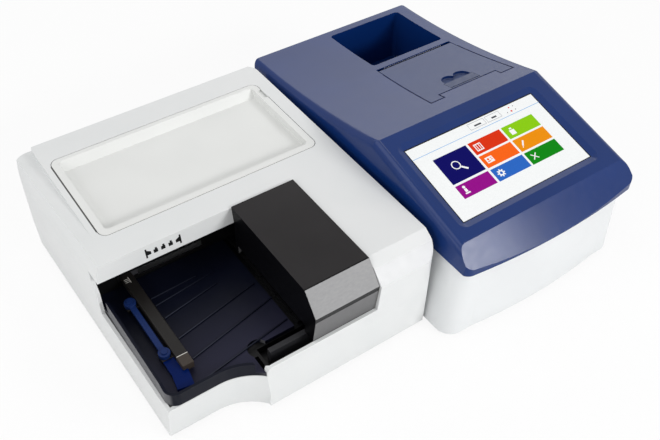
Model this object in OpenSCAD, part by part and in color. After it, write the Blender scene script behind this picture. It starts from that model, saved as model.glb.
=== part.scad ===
// Bench urine analyzer: a strip feeder unit on the left and a touch-screen console on the right.
// Millimetres, +Z up, +Y to the back. The origin is under the middle of the part, on the table.

/* [Overall] */
// Width of the strip feeder unit
feeder_w = 250; // [240:1:260]
// Gap between the two units
unit_gap = 5; // [4:0.5:8]
// Width of the console at the rim of its cover
console_w = 206; // [200:1:214]
// Depth from the bowed front of the console to its back
depth = 346; // [340:1:360]
// Height of the rubber feet
foot_h = 4; // [3:0.5:6]
// Wall of the moulded housings
wall = 3; // [2.4:0.1:3.4]

/* [Console] */
// Height of the crease between the screen face and the top
crease_z = 139; // [135:1:145]
// Distance of the crease from the back
crease_setback = 205; // [200:1:210]
// Height of the parting line between the white base and the blue cover
rim_z = 87; // [84:1:90]
// Radius of the hollow curve of the top
top_r = 890; // [800:10:1000]
// Height of the back edge of the top
back_z = 107.2; // [105:0.1:110]
// Slope of the screen face
screen_tilt = 13.2; // [11:0.1:15]
// Length of the screen face along its slope
face_len = 121.2; // [118:0.1:125]
// Forward bow of the console front
front_bow = 6; // [4:0.5:9]
// Rounding along the two long top edges of the cover
cover_edge_r = 7; // [4:0.5:9]
// How far the cover hangs over the white base
cover_overhang = 4.5; // [3:0.5:6]

/* [Screen] */
// Width of the glass
glass_w = 154; // [150:1:158]
// Height of the glass along the slope
glass_h = 86; // [82:1:90]
// Distance from the crease down to the glass
glass_top = 18.5; // [16:0.5:20]
// Shift of the screen from the console's middle
glass_shift = -3.4; // [-6:0.2:4]
// Width of the sloping frame around the glass
frame_slope = 6; // [4:0.5:7]
// Depth of the glass below the face
glass_sink = 2.2; // [1.5:0.1:2.6]

/* [Printer] */
// Width of the door at its hinge
door_w = 94; // [88:1:98]
// Flare of the door towards its front, on each side
door_flare = 4.5; // [2:0.5:6]
// Distance from the back of the console to the door's hinge edge
door_setback = 98; // [94:1:102]
// Length of the door
door_len = 77; // [72:1:80]
// Gap around the door
door_gap = 0.8; // [0.5:0.1:1.2]
// Paper slot behind the door
slot_gap = 4; // [3.4:0.2:5]
// Diameter of the paper roll
paper_d = 40; // [34:1:40]
// Width of the paper
paper_w = 70; // [60:1:72]
// Radius of the platen roller
platen_r = 6; // [5:0.5:7]

/* [Well] */
// Width of the open well behind the door
well_w = 91; // [80:1:96]
// Length of the well from front to back
well_len = 77; // [70:1:79]
// Height of the well's floor above the table
well_floor_z = 50; // [40:1:60]

/* [Feeder] */
// Height of the platform
platform_z = 110.3; // [106:0.1:112]
// Distance of the platform's front edge from the back of the feeder
platform_len = 172.2; // [168:0.1:176]
// Width of the low shoulder along the left side
shoulder_w = 14.5; // [12:0.5:18]
// Height of the bay floor, where the strip tray stands
bay_floor_z = 50.7; // [48:0.1:54]
// Depth of the bay under the platform
bay_undercut = 21; // [16:1:24]
// Width of the reader cover
reader_w = 63; // [58:1:66]
// Distance of the reader cover from the right side of the feeder
reader_inset = 60.5; // [56:0.5:64]
// Radius of the scooped front wall
scoop_r = 51; // [44:1:56]

/* [Tray lid] */
// Width of the lift-out tray in the platform
lid_w = 215.5; // [200:0.5:218]
// Length of the lift-out tray from front to back
lid_len = 113.3; // [100:0.1:116]
// Depth of its recess
lid_depth = 8; // [6:0.5:10]
// Gap around it
lid_gap = 0.6; // [0.4:0.1:1]

/* [Pusher] */
// Travel of the strip pusher
pusher_travel = 66; // [50:1:68]
// Width of the pusher bar
bar_w = 10; // [8:0.5:11]
// Radius of the belt pulleys
pulley_r = 8; // [7:0.5:9]
// Radius of the guide rods
rod_r = 3; // [2.5:0.25:3.5]
// Running clearance of the moving fits, on the radius
run_gap = 0.06; // [0.04:0.01:0.08]
// Travel of the optical head over the test pads
head_travel = 40; // [30:1:44]

/* [Hidden] */
$fn = 48;
eps = 0.01;
big = 400;
// Gap between two pieces that sit face to face beside each other
fit = 0.3;

// Overall places
total_w = feeder_w + unit_gap + console_w;
x_left = -total_w / 2;
feeder_x1 = x_left + feeder_w;
console_x0 = feeder_x1 + unit_gap;
console_x1 = total_w / 2;
cx = (console_x0 + console_x1) / 2;
y_front = -depth / 2;
y_back = depth / 2;

// Console places
crease_y = y_back - crease_setback;
chord = [y_back - crease_y, back_z - crease_z];
half_chord = norm(chord) / 2;
arc_h = sqrt(top_r * top_r - half_chord * half_chord);
arc_y = (y_back + crease_y) / 2 - chord[1] / norm(chord) * arc_h;
arc_z = (back_z + crease_z) / 2 + chord[0] / norm(chord) * arc_h;
function top_z(y) = arc_z - sqrt(top_r * top_r - (y - arc_y) * (y - arc_y));
chin_y = crease_y - face_len * cos(screen_tilt);
chin_z = crease_z - face_len * sin(screen_tilt);
cover_plan_r = 10;
face_edge_r = cover_edge_r + 0.6;
base_plan_r = 16;
side_flare = 2;
flange_h = 3;
base_w = console_w - 2 * cover_overhang;
base_back = y_back - 3;
base_front = y_front + cover_overhang + 1.5;
base_spread = 8;
base_lean = atan2(base_spread, rim_z - foot_h);
base_mid = base_w / 2 - 60;
floor_z = foot_h + wall;
// Feet of the console, from the sides and from the front and back
foot_in_x = 36;
foot_in_y = 34;

// Screen places, in the frame of the sloping face
glass_t = 2;
module_t = 7;
module_margin = 5;
glass_mid = -glass_top - glass_h / 2;

// Printer places
bay_cx = cx + 35.5;
hinge_edge = y_back - door_setback;
door_front = hinge_edge - door_len;
door_t = 3;
door_tab = 8;
door_tab_w = 15;
pin_r = 1.25;
pin_back = 5;
pin_drop = 5.5;
pin_y = hinge_edge - pin_back;
pin_z = top_z(hinge_edge) - pin_drop;
knuckle_r = 2.4;
ear_r = 2.3;
knuckle_w = 6;
latch_w = 36;
latch_len = 10;
latch_y0 = door_front + 2.5;
latch_pivot_y = latch_y0 + 2;
latch_pivot_z = top_z(latch_pivot_y) - 2.2;
latch_pin_r = 1;
latch_front_gap = 1;
ear_w = 3.4;
latch_y1 = latch_y0 + latch_len;
scoop_depth = 7;
scoop_t = 1.6;
scoop_lobe = 8;
scoop_lobe_y = 4;
scoop_lobe_x = 7.5;
latch_web_t = 1.6;
latch_reach = 7;
printer_wall = 2.2;
printer_floor_z = 62;
printer_x0 = bay_cx - door_w / 2 + 8;
printer_x1 = bay_cx + door_w / 2 - 8;
side_top = pin_z - 6.5;
paper_y = door_front + 6 + paper_d / 2;
paper_z = 88;
platen_y = hinge_edge - 12;
platen_z = 98;
platen_shaft_r = 2.5;
head_t = 4;
gearbox_bore = 5;

// Well places
well_wall = 2.2;
well_x0 = bay_cx - well_w / 2 + 1;
well_x1 = well_x0 + well_w;
well_y1 = base_back - wall - fit - well_wall;
well_y0 = well_y1 - well_len;

// Rear panel places
panel_w = 132;
panel_h = 46;
panel_t = 2;
panel_x0 = cx - panel_w / 2;
panel_z0 = floor_z + 3;
inlet_x = panel_x0 + 24;
switch_x = panel_x0 + 56;
ports_x = panel_x0 + 84;
panel_mid_z = panel_z0 + panel_h / 2;
panel_y1 = base_back - 0.5;
rocker_tilt = 10;
rocker_w = 12;
rocker_h = 20;
rocker_pin_r = 1.5;
rocker_y = panel_y1 - 2.5;

// Feeder places
feeder_back = y_back - 8;
plat_y0 = feeder_back - platform_len;
plat_x0 = x_left + shoulder_w;
shoulder_z = platform_z - 7;
front_y = y_front + 34.8;
notch_y = y_front + 53.5;
reader_x1 = feeder_x1 - reader_inset;
reader_x0 = reader_x1 - reader_w;
bay_back = plat_y0 + bay_undercut;
fascia_h = 15;
fascia_lean = 3;
scoop_x = x_left + 45.5;
scoop_end = scoop_x + 39;
low_wall_x0 = scoop_end - 3;
low_wall_z = bay_floor_z + 10.5;
feeder_floor_z = foot_h + 2.5;
bay_side = 3.3;
side_turn = 0.85;
shoulder_y0 = plat_y0 + 32;
lid_x0 = plat_x0 + 6;
lid_x1 = lid_x0 + lid_w;
lid_y1 = feeder_back - 31;
lid_y0 = lid_y1 - lid_len;
lid_r = 8;
lid_seat = 3;
ledge_w = 4;

// Bay places
liner_t = 2.5;
liner_back = bay_back + liner_t;
tray_x0 = x_left + 3.6;
tray_x1 = reader_x0 - 1;
tray_y0 = notch_y + 0.5;
tray_y1 = bay_back - 1;
tray_t = 2.6;
tray_skirt = 1.4;
tray_floor_z = bay_floor_z + tray_skirt + tray_t;
tray_lip_z = bay_floor_z + 14;
tray_wall_z = bay_floor_z + 17.5;
trough_y0 = front_y + 8.5;
trough_y1 = tray_y0 + 12;
trough_z = bay_floor_z - 8;
rail_top_z = bay_floor_z + 9;
rail_y = trough_y0 + 8.2;
rail_w = 5;

// Pusher and its drive
bar_x0 = tray_x0 + 23.3;
bar_x1 = bar_x0 + bar_w;
bar_z0 = tray_floor_z + 2.6;
bar_h = 7.5;
bar_front = tray_y0 + 21;
link_x = bar_x0 - 5.5;
link_y = [bar_front + 21, bar_front + 82.5];
link_r = 5;
link_w = 5;
link_pin_r = 1.5;
slot_z0 = bar_z0 - 1;
slot_z1 = bar_z0 + bar_h + 1;
drive_y = liner_back + 6.5;
rod_low_z = bar_z0 - 15;
rod_high_z = bar_z0 + 1.5;
belt_t = 1.2;
belt_w = 6;
pulley_z = bar_z0 + bar_h + 1 + belt_t + pulley_r;
carriage_w = 24;
carriage_x0 = (bar_x0 + bar_x1) / 2 - carriage_w / 2;
frame_t = 2;
frame_x0 = x_left + 7;
frame_x1 = reader_x0 + 12;
frame_y = drive_y + 6;
idler_x = frame_x0 + 14;
motor_x = frame_x1 - 14;
motor_r = 17;
motor_len = 24;
motor_shaft_r = 2;

// Reader places
reader_top_z = platform_z + 1.9;
reader_t = 2.5;
reader_front0 = y_front + 52.8;
reader_front1 = front_y + 2;
reader_crease_z = platform_z - 18.6;
reader_gap = 0.5;
tunnel_z = bay_floor_z + 19;
stage_x0 = reader_x0 + 4;
stage_x1 = reader_x1 - 5;
stage_y0 = trough_y1 + 3;
stage_z = tray_floor_z;
head_w = 34;
head_len = 30;
head_z0 = stage_z + 14;
head_h = 26;
head_x0 = (stage_x0 + stage_x1) / 2 - head_w / 2;
head_y0 = stage_y0 + 12;
head_rod_z = head_z0 + 18;
head_rod_x = 11;
carrier_t = 4;
carrier_y0 = stage_y0 + 2;
carrier_y1 = plat_y0 - fascia_lean - reader_gap - reader_t - 2;

// General shapes

module block(x0, x1, y0, y1, z0, z1)
    translate([x0, y0, z0]) cube([x1 - x0, y1 - y0, z1 - z0]);

module rounded(x0, x1, y0, y1, r) {
    translate([x0 + r, y0]) square([x1 - x0 - 2 * r, y1 - y0]);
    translate([x0, y0 + r]) square([x1 - x0, y1 - y0 - 2 * r]);
    for (x = [x0 + r, x1 - r], y = [y0 + r, y1 - r]) translate([x, y]) circle(r);
}

module slab(x0, x1, y0, y1, z0, z1, r)
    translate([0, 0, z0]) linear_extrude(z1 - z0) rounded(x0, x1, y0, y1, r);

module slab_y(x0, x1, y0, y1, z0, z1, r)
    translate([0, y1, 0]) rotate([90, 0, 0]) linear_extrude(y1 - y0) rounded(x0, x1, z0, z1, r);

// Outline in Y and Z, drawn out along X
module prism_x(x0, x1, points)
    translate([x0, 0, 0]) rotate([90, 0, 90]) linear_extrude(x1 - x0) polygon(points);

// Outline in X and Z, drawn out along Y
module prism_y(y0, y1, points)
    translate([0, y1, 0]) rotate([90, 0, 0]) linear_extrude(y1 - y0) polygon(points);

// Outline in X and Y, drawn out along Z
module prism_z(z0, z1, points)
    translate([0, 0, z0]) linear_extrude(z1 - z0) polygon(points);

module rod_x(x0, x1, y, z, r)
    translate([x0, y, z]) rotate([0, 90, 0]) cylinder(h = x1 - x0, r = r);

module rod_y(x, y0, y1, z, r)
    translate([x, y1, z]) rotate([90, 0, 0]) cylinder(h = y1 - y0, r = r);

module rod_z(x, y, z0, z1, r)
    translate([x, y, z0]) cylinder(h = z1 - z0, r = r);

// Frame of the sloping screen face: x across, y up the slope from the crease, z out of the face
module on_face()
    translate([cx, crease_y, crease_z]) rotate([screen_tilt, 0, 0]) children();

// Console cover

// Section across the cover: the first coordinate runs down into the part, the second across
module cover_section(inset, edge_r) {
    r = edge_r - inset;
    half = console_w / 2 - side_flare - inset;
    deep = 150;
    spread = side_flare * deep / 45;
    polygon([[inset + r, -half], [deep, -half - spread], [deep, half + spread], [inset + r, half]]);
    translate([inset, -half + r]) square([r + 1, 2 * (half - r)]);
    for (side = [-1, 1]) translate([inset + r, side * (half - r)]) circle(r);
}

module top_sweep(inset)
    translate([cx, arc_y, arc_z])
        rotate([90, 0, 90])
            rotate([0, 0, -116])
                rotate_extrude(angle = 28, $fn = 720)
                    translate([top_r, 0]) cover_section(inset, cover_edge_r);

module face_sweep(inset)
    on_face()
        translate([0, 240, 0])
            rotate([90, 0, 0])
                linear_extrude(240 + face_len + 60)
                    rotate([0, 0, -90]) cover_section(inset, face_edge_r);

module cover_plan(inset) {
    x0 = console_x0 + inset;
    x1 = console_x1 - inset;
    y0 = y_front + inset;
    r = cover_plan_r - inset;
    half = (x1 - x0) / 2 - r;
    bow_r = (half * half + front_bow * front_bow) / (2 * front_bow);
    rounded(x0, x1, y0 + front_bow, y_back - inset, r);
    intersection() {
        translate([cx, y0 + bow_r]) circle(bow_r, $fn = 720);
        translate([cx - half, y0]) square([2 * half, front_bow + 2 * r]);
    }
}

// Everything behind the sloping chin
module chin_side(inset) {
    y = chin_y + inset * 0.71;
    z = chin_z - inset * 0.71;
    prism_x(console_x0 - 5, console_x1 + 5,
            [[y - 80, z - 80], [y + 80, z + 80], [y_back + 5, z + 80], [y_back + 5, z - 80]]);
}

module cover_form(inset, z0)
    intersection() {
        top_sweep(inset);
        face_sweep(inset);
        chin_side(inset);
        translate([0, 0, z0]) linear_extrude(crease_z) cover_plan(inset);
    }

// Outline of the printer door seen from above, grown all round by a gap
function door_outline(grow) = [
    [bay_cx - door_w / 2 - grow, hinge_edge],
    [bay_cx - door_w / 2 - door_flare - grow, door_front - door_tab - grow],
    [bay_cx - door_w / 2 - door_flare + door_tab_w + grow, door_front - door_tab - grow],
    [bay_cx - door_w / 2 - door_flare + door_tab_w + grow, door_front - grow],
    [bay_cx + door_w / 2 + door_flare - door_tab_w - grow, door_front - grow],
    [bay_cx + door_w / 2 + door_flare - door_tab_w - grow, door_front - door_tab - grow],
    [bay_cx + door_w / 2 + door_flare + grow, door_front - door_tab - grow],
    [bay_cx + door_w / 2 + grow, hinge_edge]
];

module screen_cutout() {
    on_face() translate([glass_shift, glass_mid, 0]) {
        translate([0, 0, -20]) linear_extrude(20) square([glass_w, glass_h], center = true);
        hull() {
            translate([0, 0, -glass_sink - 0.1])
                linear_extrude(0.1) square([glass_w, glass_h], center = true);
            linear_extrude(0.1)
                rounded(-glass_w / 2 - frame_slope, glass_w / 2 + frame_slope,
                        -glass_h / 2 - frame_slope, glass_h / 2 + frame_slope, frame_slope + 2, $fn = 32);
        }
    }
}

// Rib round the screen opening that the screen module is screwed against
module screen_rib() {
    rib = 3;
    on_face() translate([glass_shift, glass_mid, -glass_sink - glass_t])
        difference() {
            linear_extrude(glass_t) square([glass_w + 2 * rib, glass_h + 2 * rib], center = true);
            translate([0, 0, -1]) linear_extrude(glass_t + 2) square([glass_w, glass_h], center = true);
        }
}

module console_cover() color([0.13, 0.22, 0.42])
    difference() {
        union() {
            difference() {
                cover_form(0, rim_z);
                cover_form(wall, rim_z + flange_h);
                slab(console_x0 + cover_overhang + wall, console_x1 - cover_overhang - wall,
                     base_front + front_bow + wall, base_back - wall, rim_z - 1, rim_z + flange_h + 1, 8);
            }
            intersection() {
                screen_rib();
                cover_form(1, rim_z);
            }
            block(well_x0 - well_wall, well_x1 + well_wall, well_y0 - well_wall, well_y1 + well_wall,
                  well_floor_z - well_wall, rim_z + 1);
            intersection() {
                block(well_x0 - well_wall, well_x1 + well_wall, well_y0 - well_wall, well_y1 + well_wall,
                      rim_z, crease_z);
                cover_form(1, rim_z - 1);
            }
        }
        slab(well_x0, well_x1, well_y0, well_y1, well_floor_z, crease_z, 4);
        screen_cutout();
        prism_z(rim_z + 5, crease_z + 10, door_outline(door_gap));
        block(bay_cx - door_w / 2 - door_gap, bay_cx + door_w / 2 + door_gap, hinge_edge - 1,
              hinge_edge + slot_gap, rim_z + 5, crease_z);
    }

// Console base

// Two ends that lean out towards the foot, a middle and the bowed front
module base_form(inset, z0, z1) {
    bow = front_bow - 1;
    r = base_plan_r - inset;
    half = base_w / 2 - inset - r;
    bow_half = half - 3;
    bow_r = (bow_half * bow_half + bow * bow) / (2 * bow);
    y0 = base_front + inset;
    y1 = base_back - inset;
    top = rim_z + 10;
    seam = 0.02;
    intersection() {
        union() {
            for (side = [-1, 1])
                intersection() {
                    translate([cx, 0, rim_z]) rotate([0, -side * base_lean, 0])
                        translate([-cx, 0, -rim_z - 20])
                        linear_extrude(rim_z + 50) rounded(cx - half - r, cx + half + r, y0 + bow, y1, r);
                    block(side < 0 ? x_left : cx + base_mid, side < 0 ? cx - base_mid : 2 * console_x1,
                          y_front,
                          y_back, 0, top);
                }
            block(cx - base_mid - 1, cx + base_mid + 1, y0 + bow + seam, y1 - seam, 0, top);
            linear_extrude(top)
                intersection() {
                    translate([cx, y0 + bow_r]) circle(bow_r, $fn = 720);
                    translate([cx - bow_half - 2, y0]) square([2 * bow_half + 4, bow + 2 * r]);
                }
        }
        block(x_left, 2 * console_x1, y_front, y_back, z0, z1);
    }
}

console_boss_x = [cx - base_w / 2 + 8.5, cx + base_w / 2 - 8.5];
console_boss_y = [base_front + 26, base_back - 20];
boss_r = 5;
screw_r = 1.5;
screw_clear = 0.15;
screw_head_r = 3;
screw_head_h = 2;

module console_base() color([0.9, 0.9, 0.89])
    difference() {
        union() {
            difference() {
                base_form(0, foot_h, rim_z);
                base_form(wall, floor_z, rim_z + 2);
            }
            for (x = console_boss_x, y = console_boss_y) rod_z(x, y, floor_z - 1, rim_z, boss_r);
        }
        for (x = console_boss_x, y = console_boss_y) {
            rod_z(x, y, foot_h - 1, foot_h + screw_head_h + 0.3, screw_head_r + 0.4);
            rod_z(x, y, foot_h - 1, foot_h + 22, screw_r + screw_clear);
        }
        block(panel_x0, panel_x0 + panel_w, base_back - wall - 1, base_back + 1,
              panel_z0, panel_z0 + panel_h);
    }

module screws(xs, ys, z0, length)
    for (x = xs, y = ys) {
        difference() {
            rod_z(x, y, z0, z0 + screw_head_h, screw_head_r);
            rod_z(x, y, z0 - 1, z0 + 1.2, 1.3, $fn = 6);
        }
        rod_z(x, y, z0 + screw_head_h - eps, z0 + length, screw_r);
    }

module console_screws() color([0.6, 0.6, 0.62])
    screws(console_boss_x, console_boss_y, foot_h + 0.3, 20);

module foot(x, y) {
    rod_z(x, y, 1, foot_h, 9);
    rod_z(x, y, 0, 1 + eps, 8);
}

module console_feet() color([0.12, 0.12, 0.12])
    for (x = [cx - base_w / 2 + foot_in_x, cx + base_w / 2 - foot_in_x],
         y = [base_front + foot_in_y, base_back - foot_in_y]) foot(x, y);

// Screen

module screen_glass() color([0.1, 0.12, 0.16])
    on_face() translate([glass_shift, glass_mid, -glass_sink - glass_t])
        linear_extrude(glass_t) square([glass_w - 2 * 0.2, glass_h - 2 * 0.2], center = true);

module screen_module() color([0.7, 0.71, 0.72])
    on_face() translate([glass_shift, glass_mid, -glass_sink - glass_t - module_t]) {
        linear_extrude(module_t)
            square([glass_w + 2 * module_margin, glass_h + 2 * module_margin], center = true);
        translate([0, 0, -2]) linear_extrude(2 + eps) square([glass_w * 0.5, glass_h * 0.5], center = true);
    }

// Printer

module printer_door() color([0.16, 0.25, 0.45]) {
    difference() {
        intersection() {
            difference() {
                cover_form(0, rim_z + 5);
                cover_form(door_t, rim_z);
            }
            prism_z(rim_z, crease_z, door_outline(0));
        }
        block(bay_cx - latch_w / 2 - fit, bay_cx + latch_w / 2 + fit,
              latch_y0 - latch_front_gap, latch_y1 + fit, rim_z, crease_z + 1);
        translate([bay_cx, latch_y1, rim_z]) scoop_plan(0, crease_z);
        rod_x(lug_x(-1), lug_x(1) + ear_w, latch_pivot_y, latch_pivot_z, latch_pin_r + run_gap);
    }
    // Walls and floor of the finger scoop, lower where the latch plate covers them
    intersection() {
        union() {
            cover_form(2.6, rim_z + 5);
            intersection() {
                cover_form(1, rim_z + 5);
                block(console_x0, console_x1, latch_y1 + fit, y_back, rim_z, crease_z);
            }
        }
        translate([bay_cx, latch_y1, top_z(latch_y1) - scoop_depth - scoop_t])
            difference() {
                scoop_plan(scoop_t, scoop_depth + 10);
                translate([0, 0, scoop_t]) scoop_plan(0, scoop_depth + 10);
            }
    }
    // Knuckles on the hinge pins
    for (side = [-1, 1])
        difference() {
            union() {
                rod_x(knuckle_x(side), knuckle_x(side) + knuckle_w, pin_y, pin_z, knuckle_r);
                block(knuckle_x(side), knuckle_x(side) + knuckle_w, pin_y - knuckle_r, pin_y + knuckle_r,
                      pin_z, top_z(pin_y) - 1.5);
            }
            rod_x(knuckle_x(side) - 1, knuckle_x(side) + knuckle_w + 1, pin_y, pin_z, pin_r + run_gap);
        }
    // Lugs that hold the latch
    for (side = [-1, 1])
        difference() {
            translate([lug_x(side), latch_pivot_y - 2.4, latch_pivot_z - 2.4])
                cube([ear_w, 4.8, top_z(latch_pivot_y + 2.4) - latch_pivot_z + 2.4 - 1]);
            rod_x(lug_x(side) - 1, lug_x(side) + ear_w + 1, latch_pivot_y, latch_pivot_z,
                  latch_pin_r + run_gap);
        }
}

function lug_x(side) = side < 0 ? bay_cx - latch_w / 2 - fit - ear_w : bay_cx + latch_w / 2 + fit;

function knuckle_x(side) = side < 0 ? bay_cx - door_w / 2 + 1 : bay_cx + door_w / 2 - 1 - knuckle_w;

module scoop_plan(grow, height) {
    lobe = scoop_lobe + grow;
    linear_extrude(height) {
        translate([-latch_w / 2 + 2 - grow, -grow])
            square([latch_w - 4 + 2 * grow, scoop_lobe_y + 1 + grow]);
        for (side = [-1, 1]) translate([side * scoop_lobe_x, scoop_lobe_y]) circle(lobe);
    }
}

module door_latch() color([0.45, 0.47, 0.55]) {
    plate_t = 1.5;
    web = latch_w / 2 - 8;
    catch_y = door_front - 0.2;
    intersection() {
        difference() {
            cover_form(0, rim_z + 5);
            cover_form(plate_t, rim_z);
        }
        block(bay_cx - latch_w / 2, bay_cx + latch_w / 2, latch_y0, latch_y1, rim_z, crease_z);
    }
    // Web, pin and catch under the plate
    web_y1 = latch_pivot_y + 0.2;
    block(bay_cx - web, bay_cx + web, web_y1 - latch_web_t, web_y1, latch_pivot_z - latch_reach,
          top_z(web_y1) - 1);
    rod_x(bay_cx - latch_w / 2 - ear_w + 0.2, bay_cx + latch_w / 2 + ear_w - 0.2,
          latch_pivot_y, latch_pivot_z,
          latch_pin_r);
    block(bay_cx - web, bay_cx + web, catch_y, web_y1, latch_pivot_z - latch_reach,
          latch_pivot_z - latch_reach + 2.4);
}

// Moulded bay under the door: side walls, the cradle for the roll and the seat of the print mechanism
module paper_bay() color([0.2, 0.21, 0.24]) {
    x0 = printer_x0;
    x1 = printer_x1;
    y0 = door_front + 3;
    y1 = hinge_edge + slot_gap + 1;
    in0 = x0 + printer_wall;
    in1 = x1 - printer_wall;
    difference() {
        block(x0, x1, y0, y1, printer_floor_z, side_top);
        rod_x(in0, in1, paper_y, paper_z, paper_d / 2 + fit);
        block(in0, in1, paper_y - paper_d / 2 - fit, paper_y + paper_d / 2 + fit, paper_z, side_top + 1);
        block(in0, in1, paper_y, hinge_edge + slot_gap - 1, platen_z - platen_r - 3, side_top + 1);
        rod_x(x0 - 1, x1 + 1, platen_y, platen_z, platen_shaft_r + run_gap);
    }
    // Ears for the hinge pins
    for (side = [-1, 1])
        difference() {
            ear_x = side < 0 ? x0 : in1;
            union() {
                block(ear_x, ear_x + printer_wall, pin_y - ear_r, pin_y + ear_r, side_top - 1, pin_z);
                rod_x(ear_x, ear_x + printer_wall, pin_y, pin_z, ear_r);
            }
            rod_x(x0 - 1, x1 + 1, pin_y, pin_z, pin_r);
        }
    // Columns down to the floor of the base
    for (x = [x0 + 6, x1 - 6], y = [y0 + 8, y1 - 8]) rod_z(x, y, floor_z, printer_floor_z + 1, 4);
}

module door_hinge_pins() color([0.75, 0.75, 0.77])
    for (side = [-1, 1])
        rod_x(side < 0 ? bay_cx - door_w / 2 + 1.5 : bay_cx + door_w / 2 - 12,
              side < 0 ? bay_cx - door_w / 2 + 12 : bay_cx + door_w / 2 - 1.5, pin_y, pin_z, pin_r);

module paper_roll() color([0.95, 0.95, 0.93])
    difference() {
        rod_x(bay_cx - paper_w / 2, bay_cx + paper_w / 2, paper_y, paper_z, paper_d / 2);
        rod_x(bay_cx - paper_w, bay_cx + paper_w, paper_y, paper_z, 6);
    }

module platen_roller() color([0.1, 0.1, 0.1]) {
    half = door_w / 2 - 12;
    rod_x(bay_cx - half, bay_cx + half, platen_y, platen_z, platen_r);
    rod_x(printer_x0 + fit, printer_x1 + gearbox_bore - 0.5, platen_y, platen_z, platen_shaft_r);
}

module print_head() color([0.55, 0.55, 0.57]) {
    half = door_w / 2 - 11;
    y1 = platen_y - platen_r - fit;
    block(bay_cx - half, bay_cx + half, y1 - head_t, y1, platen_z - platen_r - 3, platen_z + 3);
    block(bay_cx - half, bay_cx + half, y1 - head_t - 4, y1 - head_t + eps, platen_z - platen_r - 3,
          platen_z - 2);
}

// Sealed gearbox and motor on the end of the platen shaft
module printer_drive() color([0.3, 0.3, 0.32]) {
    x0 = printer_x1;
    difference() {
        union() {
            block(x0, x0 + 7, platen_y - 16, platen_y + 8, platen_z - 26, platen_z + 6);
            rod_x(x0 + 7 - eps, x0 + 20, platen_y - 4, platen_z - 15, 9);
        }
        rod_x(x0 - 1, x0 + gearbox_bore, platen_y, platen_z, platen_shaft_r + run_gap);
    }
}

module tear_bar() color([0.8, 0.8, 0.82]) {
    teeth = 30;
    half = door_w / 2 - 9;
    pitch = 2 * half / teeth;
    top = top_z(hinge_edge + slot_gap) - 0.8;
    prism_y(hinge_edge + slot_gap - 0.9, hinge_edge + slot_gap - 0.1,
            concat([[bay_cx - half, side_top]],
                   [for (i = [0 : 2 * teeth]) [bay_cx - half + i * pitch / 2, i % 2 == 0 ? top - 1 : top]],
                   [[bay_cx + half, side_top]]));
}

// Console electronics

board_x0 = cx - 84;
board_x1 = cx + 84;
board_y0 = base_front + 44;
board_y1 = board_y0 + 82;
board_z = floor_z + 10;

module board(x0, x1, y0, y1, z) {
    block(x0, x1, y0, y1, z, z + 1.6);
    w = x1 - x0;
    d = y1 - y0;
    block(x0 + 0.1 * w, x0 + 0.28 * w, y0 + 0.3 * d, y0 + 0.6 * d, z + 1.6 - eps, z + 4);
    block(x0 + 0.4 * w, x0 + 0.5 * w, y0 + 0.2 * d, y0 + 0.5 * d, z + 1.6 - eps, z + 3.4);
    block(x0 + 0.6 * w, x0 + 0.9 * w, y0 + 0.1 * d, y0 + 0.18 * d, z + 1.6 - eps, z + 10);
    for (i = [0 : 2]) rod_z(x0 + (0.62 + 0.1 * i) * w, y0 + 0.75 * d, z + 1.6 - eps, z + 14, 4);
}

module main_board() color([0.1, 0.35, 0.2]) board(board_x0, board_x1, board_y0, board_y1, board_z);

module spacers(x0, x1, y0, y1, z0, z1)
    for (x = [x0 + 5, x1 - 5], y = [y0 + 5, y1 - 5]) rod_z(x, y, z0, z1, 3);

module board_spacers() color([0.8, 0.75, 0.5]) {
    spacers(board_x0, board_x1, board_y0, board_y1, floor_z, board_z);
    spacers(feeder_board_x0, feeder_board_x1, feeder_board_y0, feeder_board_y1,
            feeder_floor_z, feeder_board_z);
}

module power_supply() color([0.72, 0.73, 0.74]) {
    supply_w = 62;
    supply_len = 110;
    supply_h = 32;
    slot_pitch = 9;
    x0 = cx - base_w / 2 + 12;
    y0 = board_y1 + 20;
    difference() {
        block(x0, x0 + supply_w, y0, y0 + supply_len, floor_z, floor_z + supply_h);
        // Cooling slots in the cover
        for (i = [0 : 7])
            block(x0 + 8, x0 + supply_w - 8, y0 + 20 + slot_pitch * i, y0 + 24 + slot_pitch * i,
                  floor_z + supply_h - 2, floor_z + supply_h + 1);
    }
}

// Rear panel with the inlet, the switch and the data ports

module rear_panel() color([0.78, 0.78, 0.78])
    difference() {
        block(panel_x0 + fit, panel_x0 + panel_w - fit, panel_y1 - panel_t, panel_y1, panel_z0 + fit,
              panel_z0 + panel_h - fit);
        block(inlet_x - 14, inlet_x + 14, panel_y1 - 5, panel_y1 + 1,
              panel_mid_z - 10.5, panel_mid_z + 10.5);
        block(switch_x - 8, switch_x + 8, panel_y1 - 5, panel_y1 + 1, panel_mid_z - 12, panel_mid_z + 12);
        for (i = [0 : 1])
            block(ports_x + 16 * i - 6.7, ports_x + 16 * i + 6.7, panel_y1 - 5, panel_y1 + 1,
                  panel_mid_z - 3.5, panel_mid_z + 3.5);
        block(ports_x + 24.8, ports_x + 41.2, panel_y1 - 5, panel_y1 + 1,
              panel_mid_z - 7, panel_mid_z + 7);
    }

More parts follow.
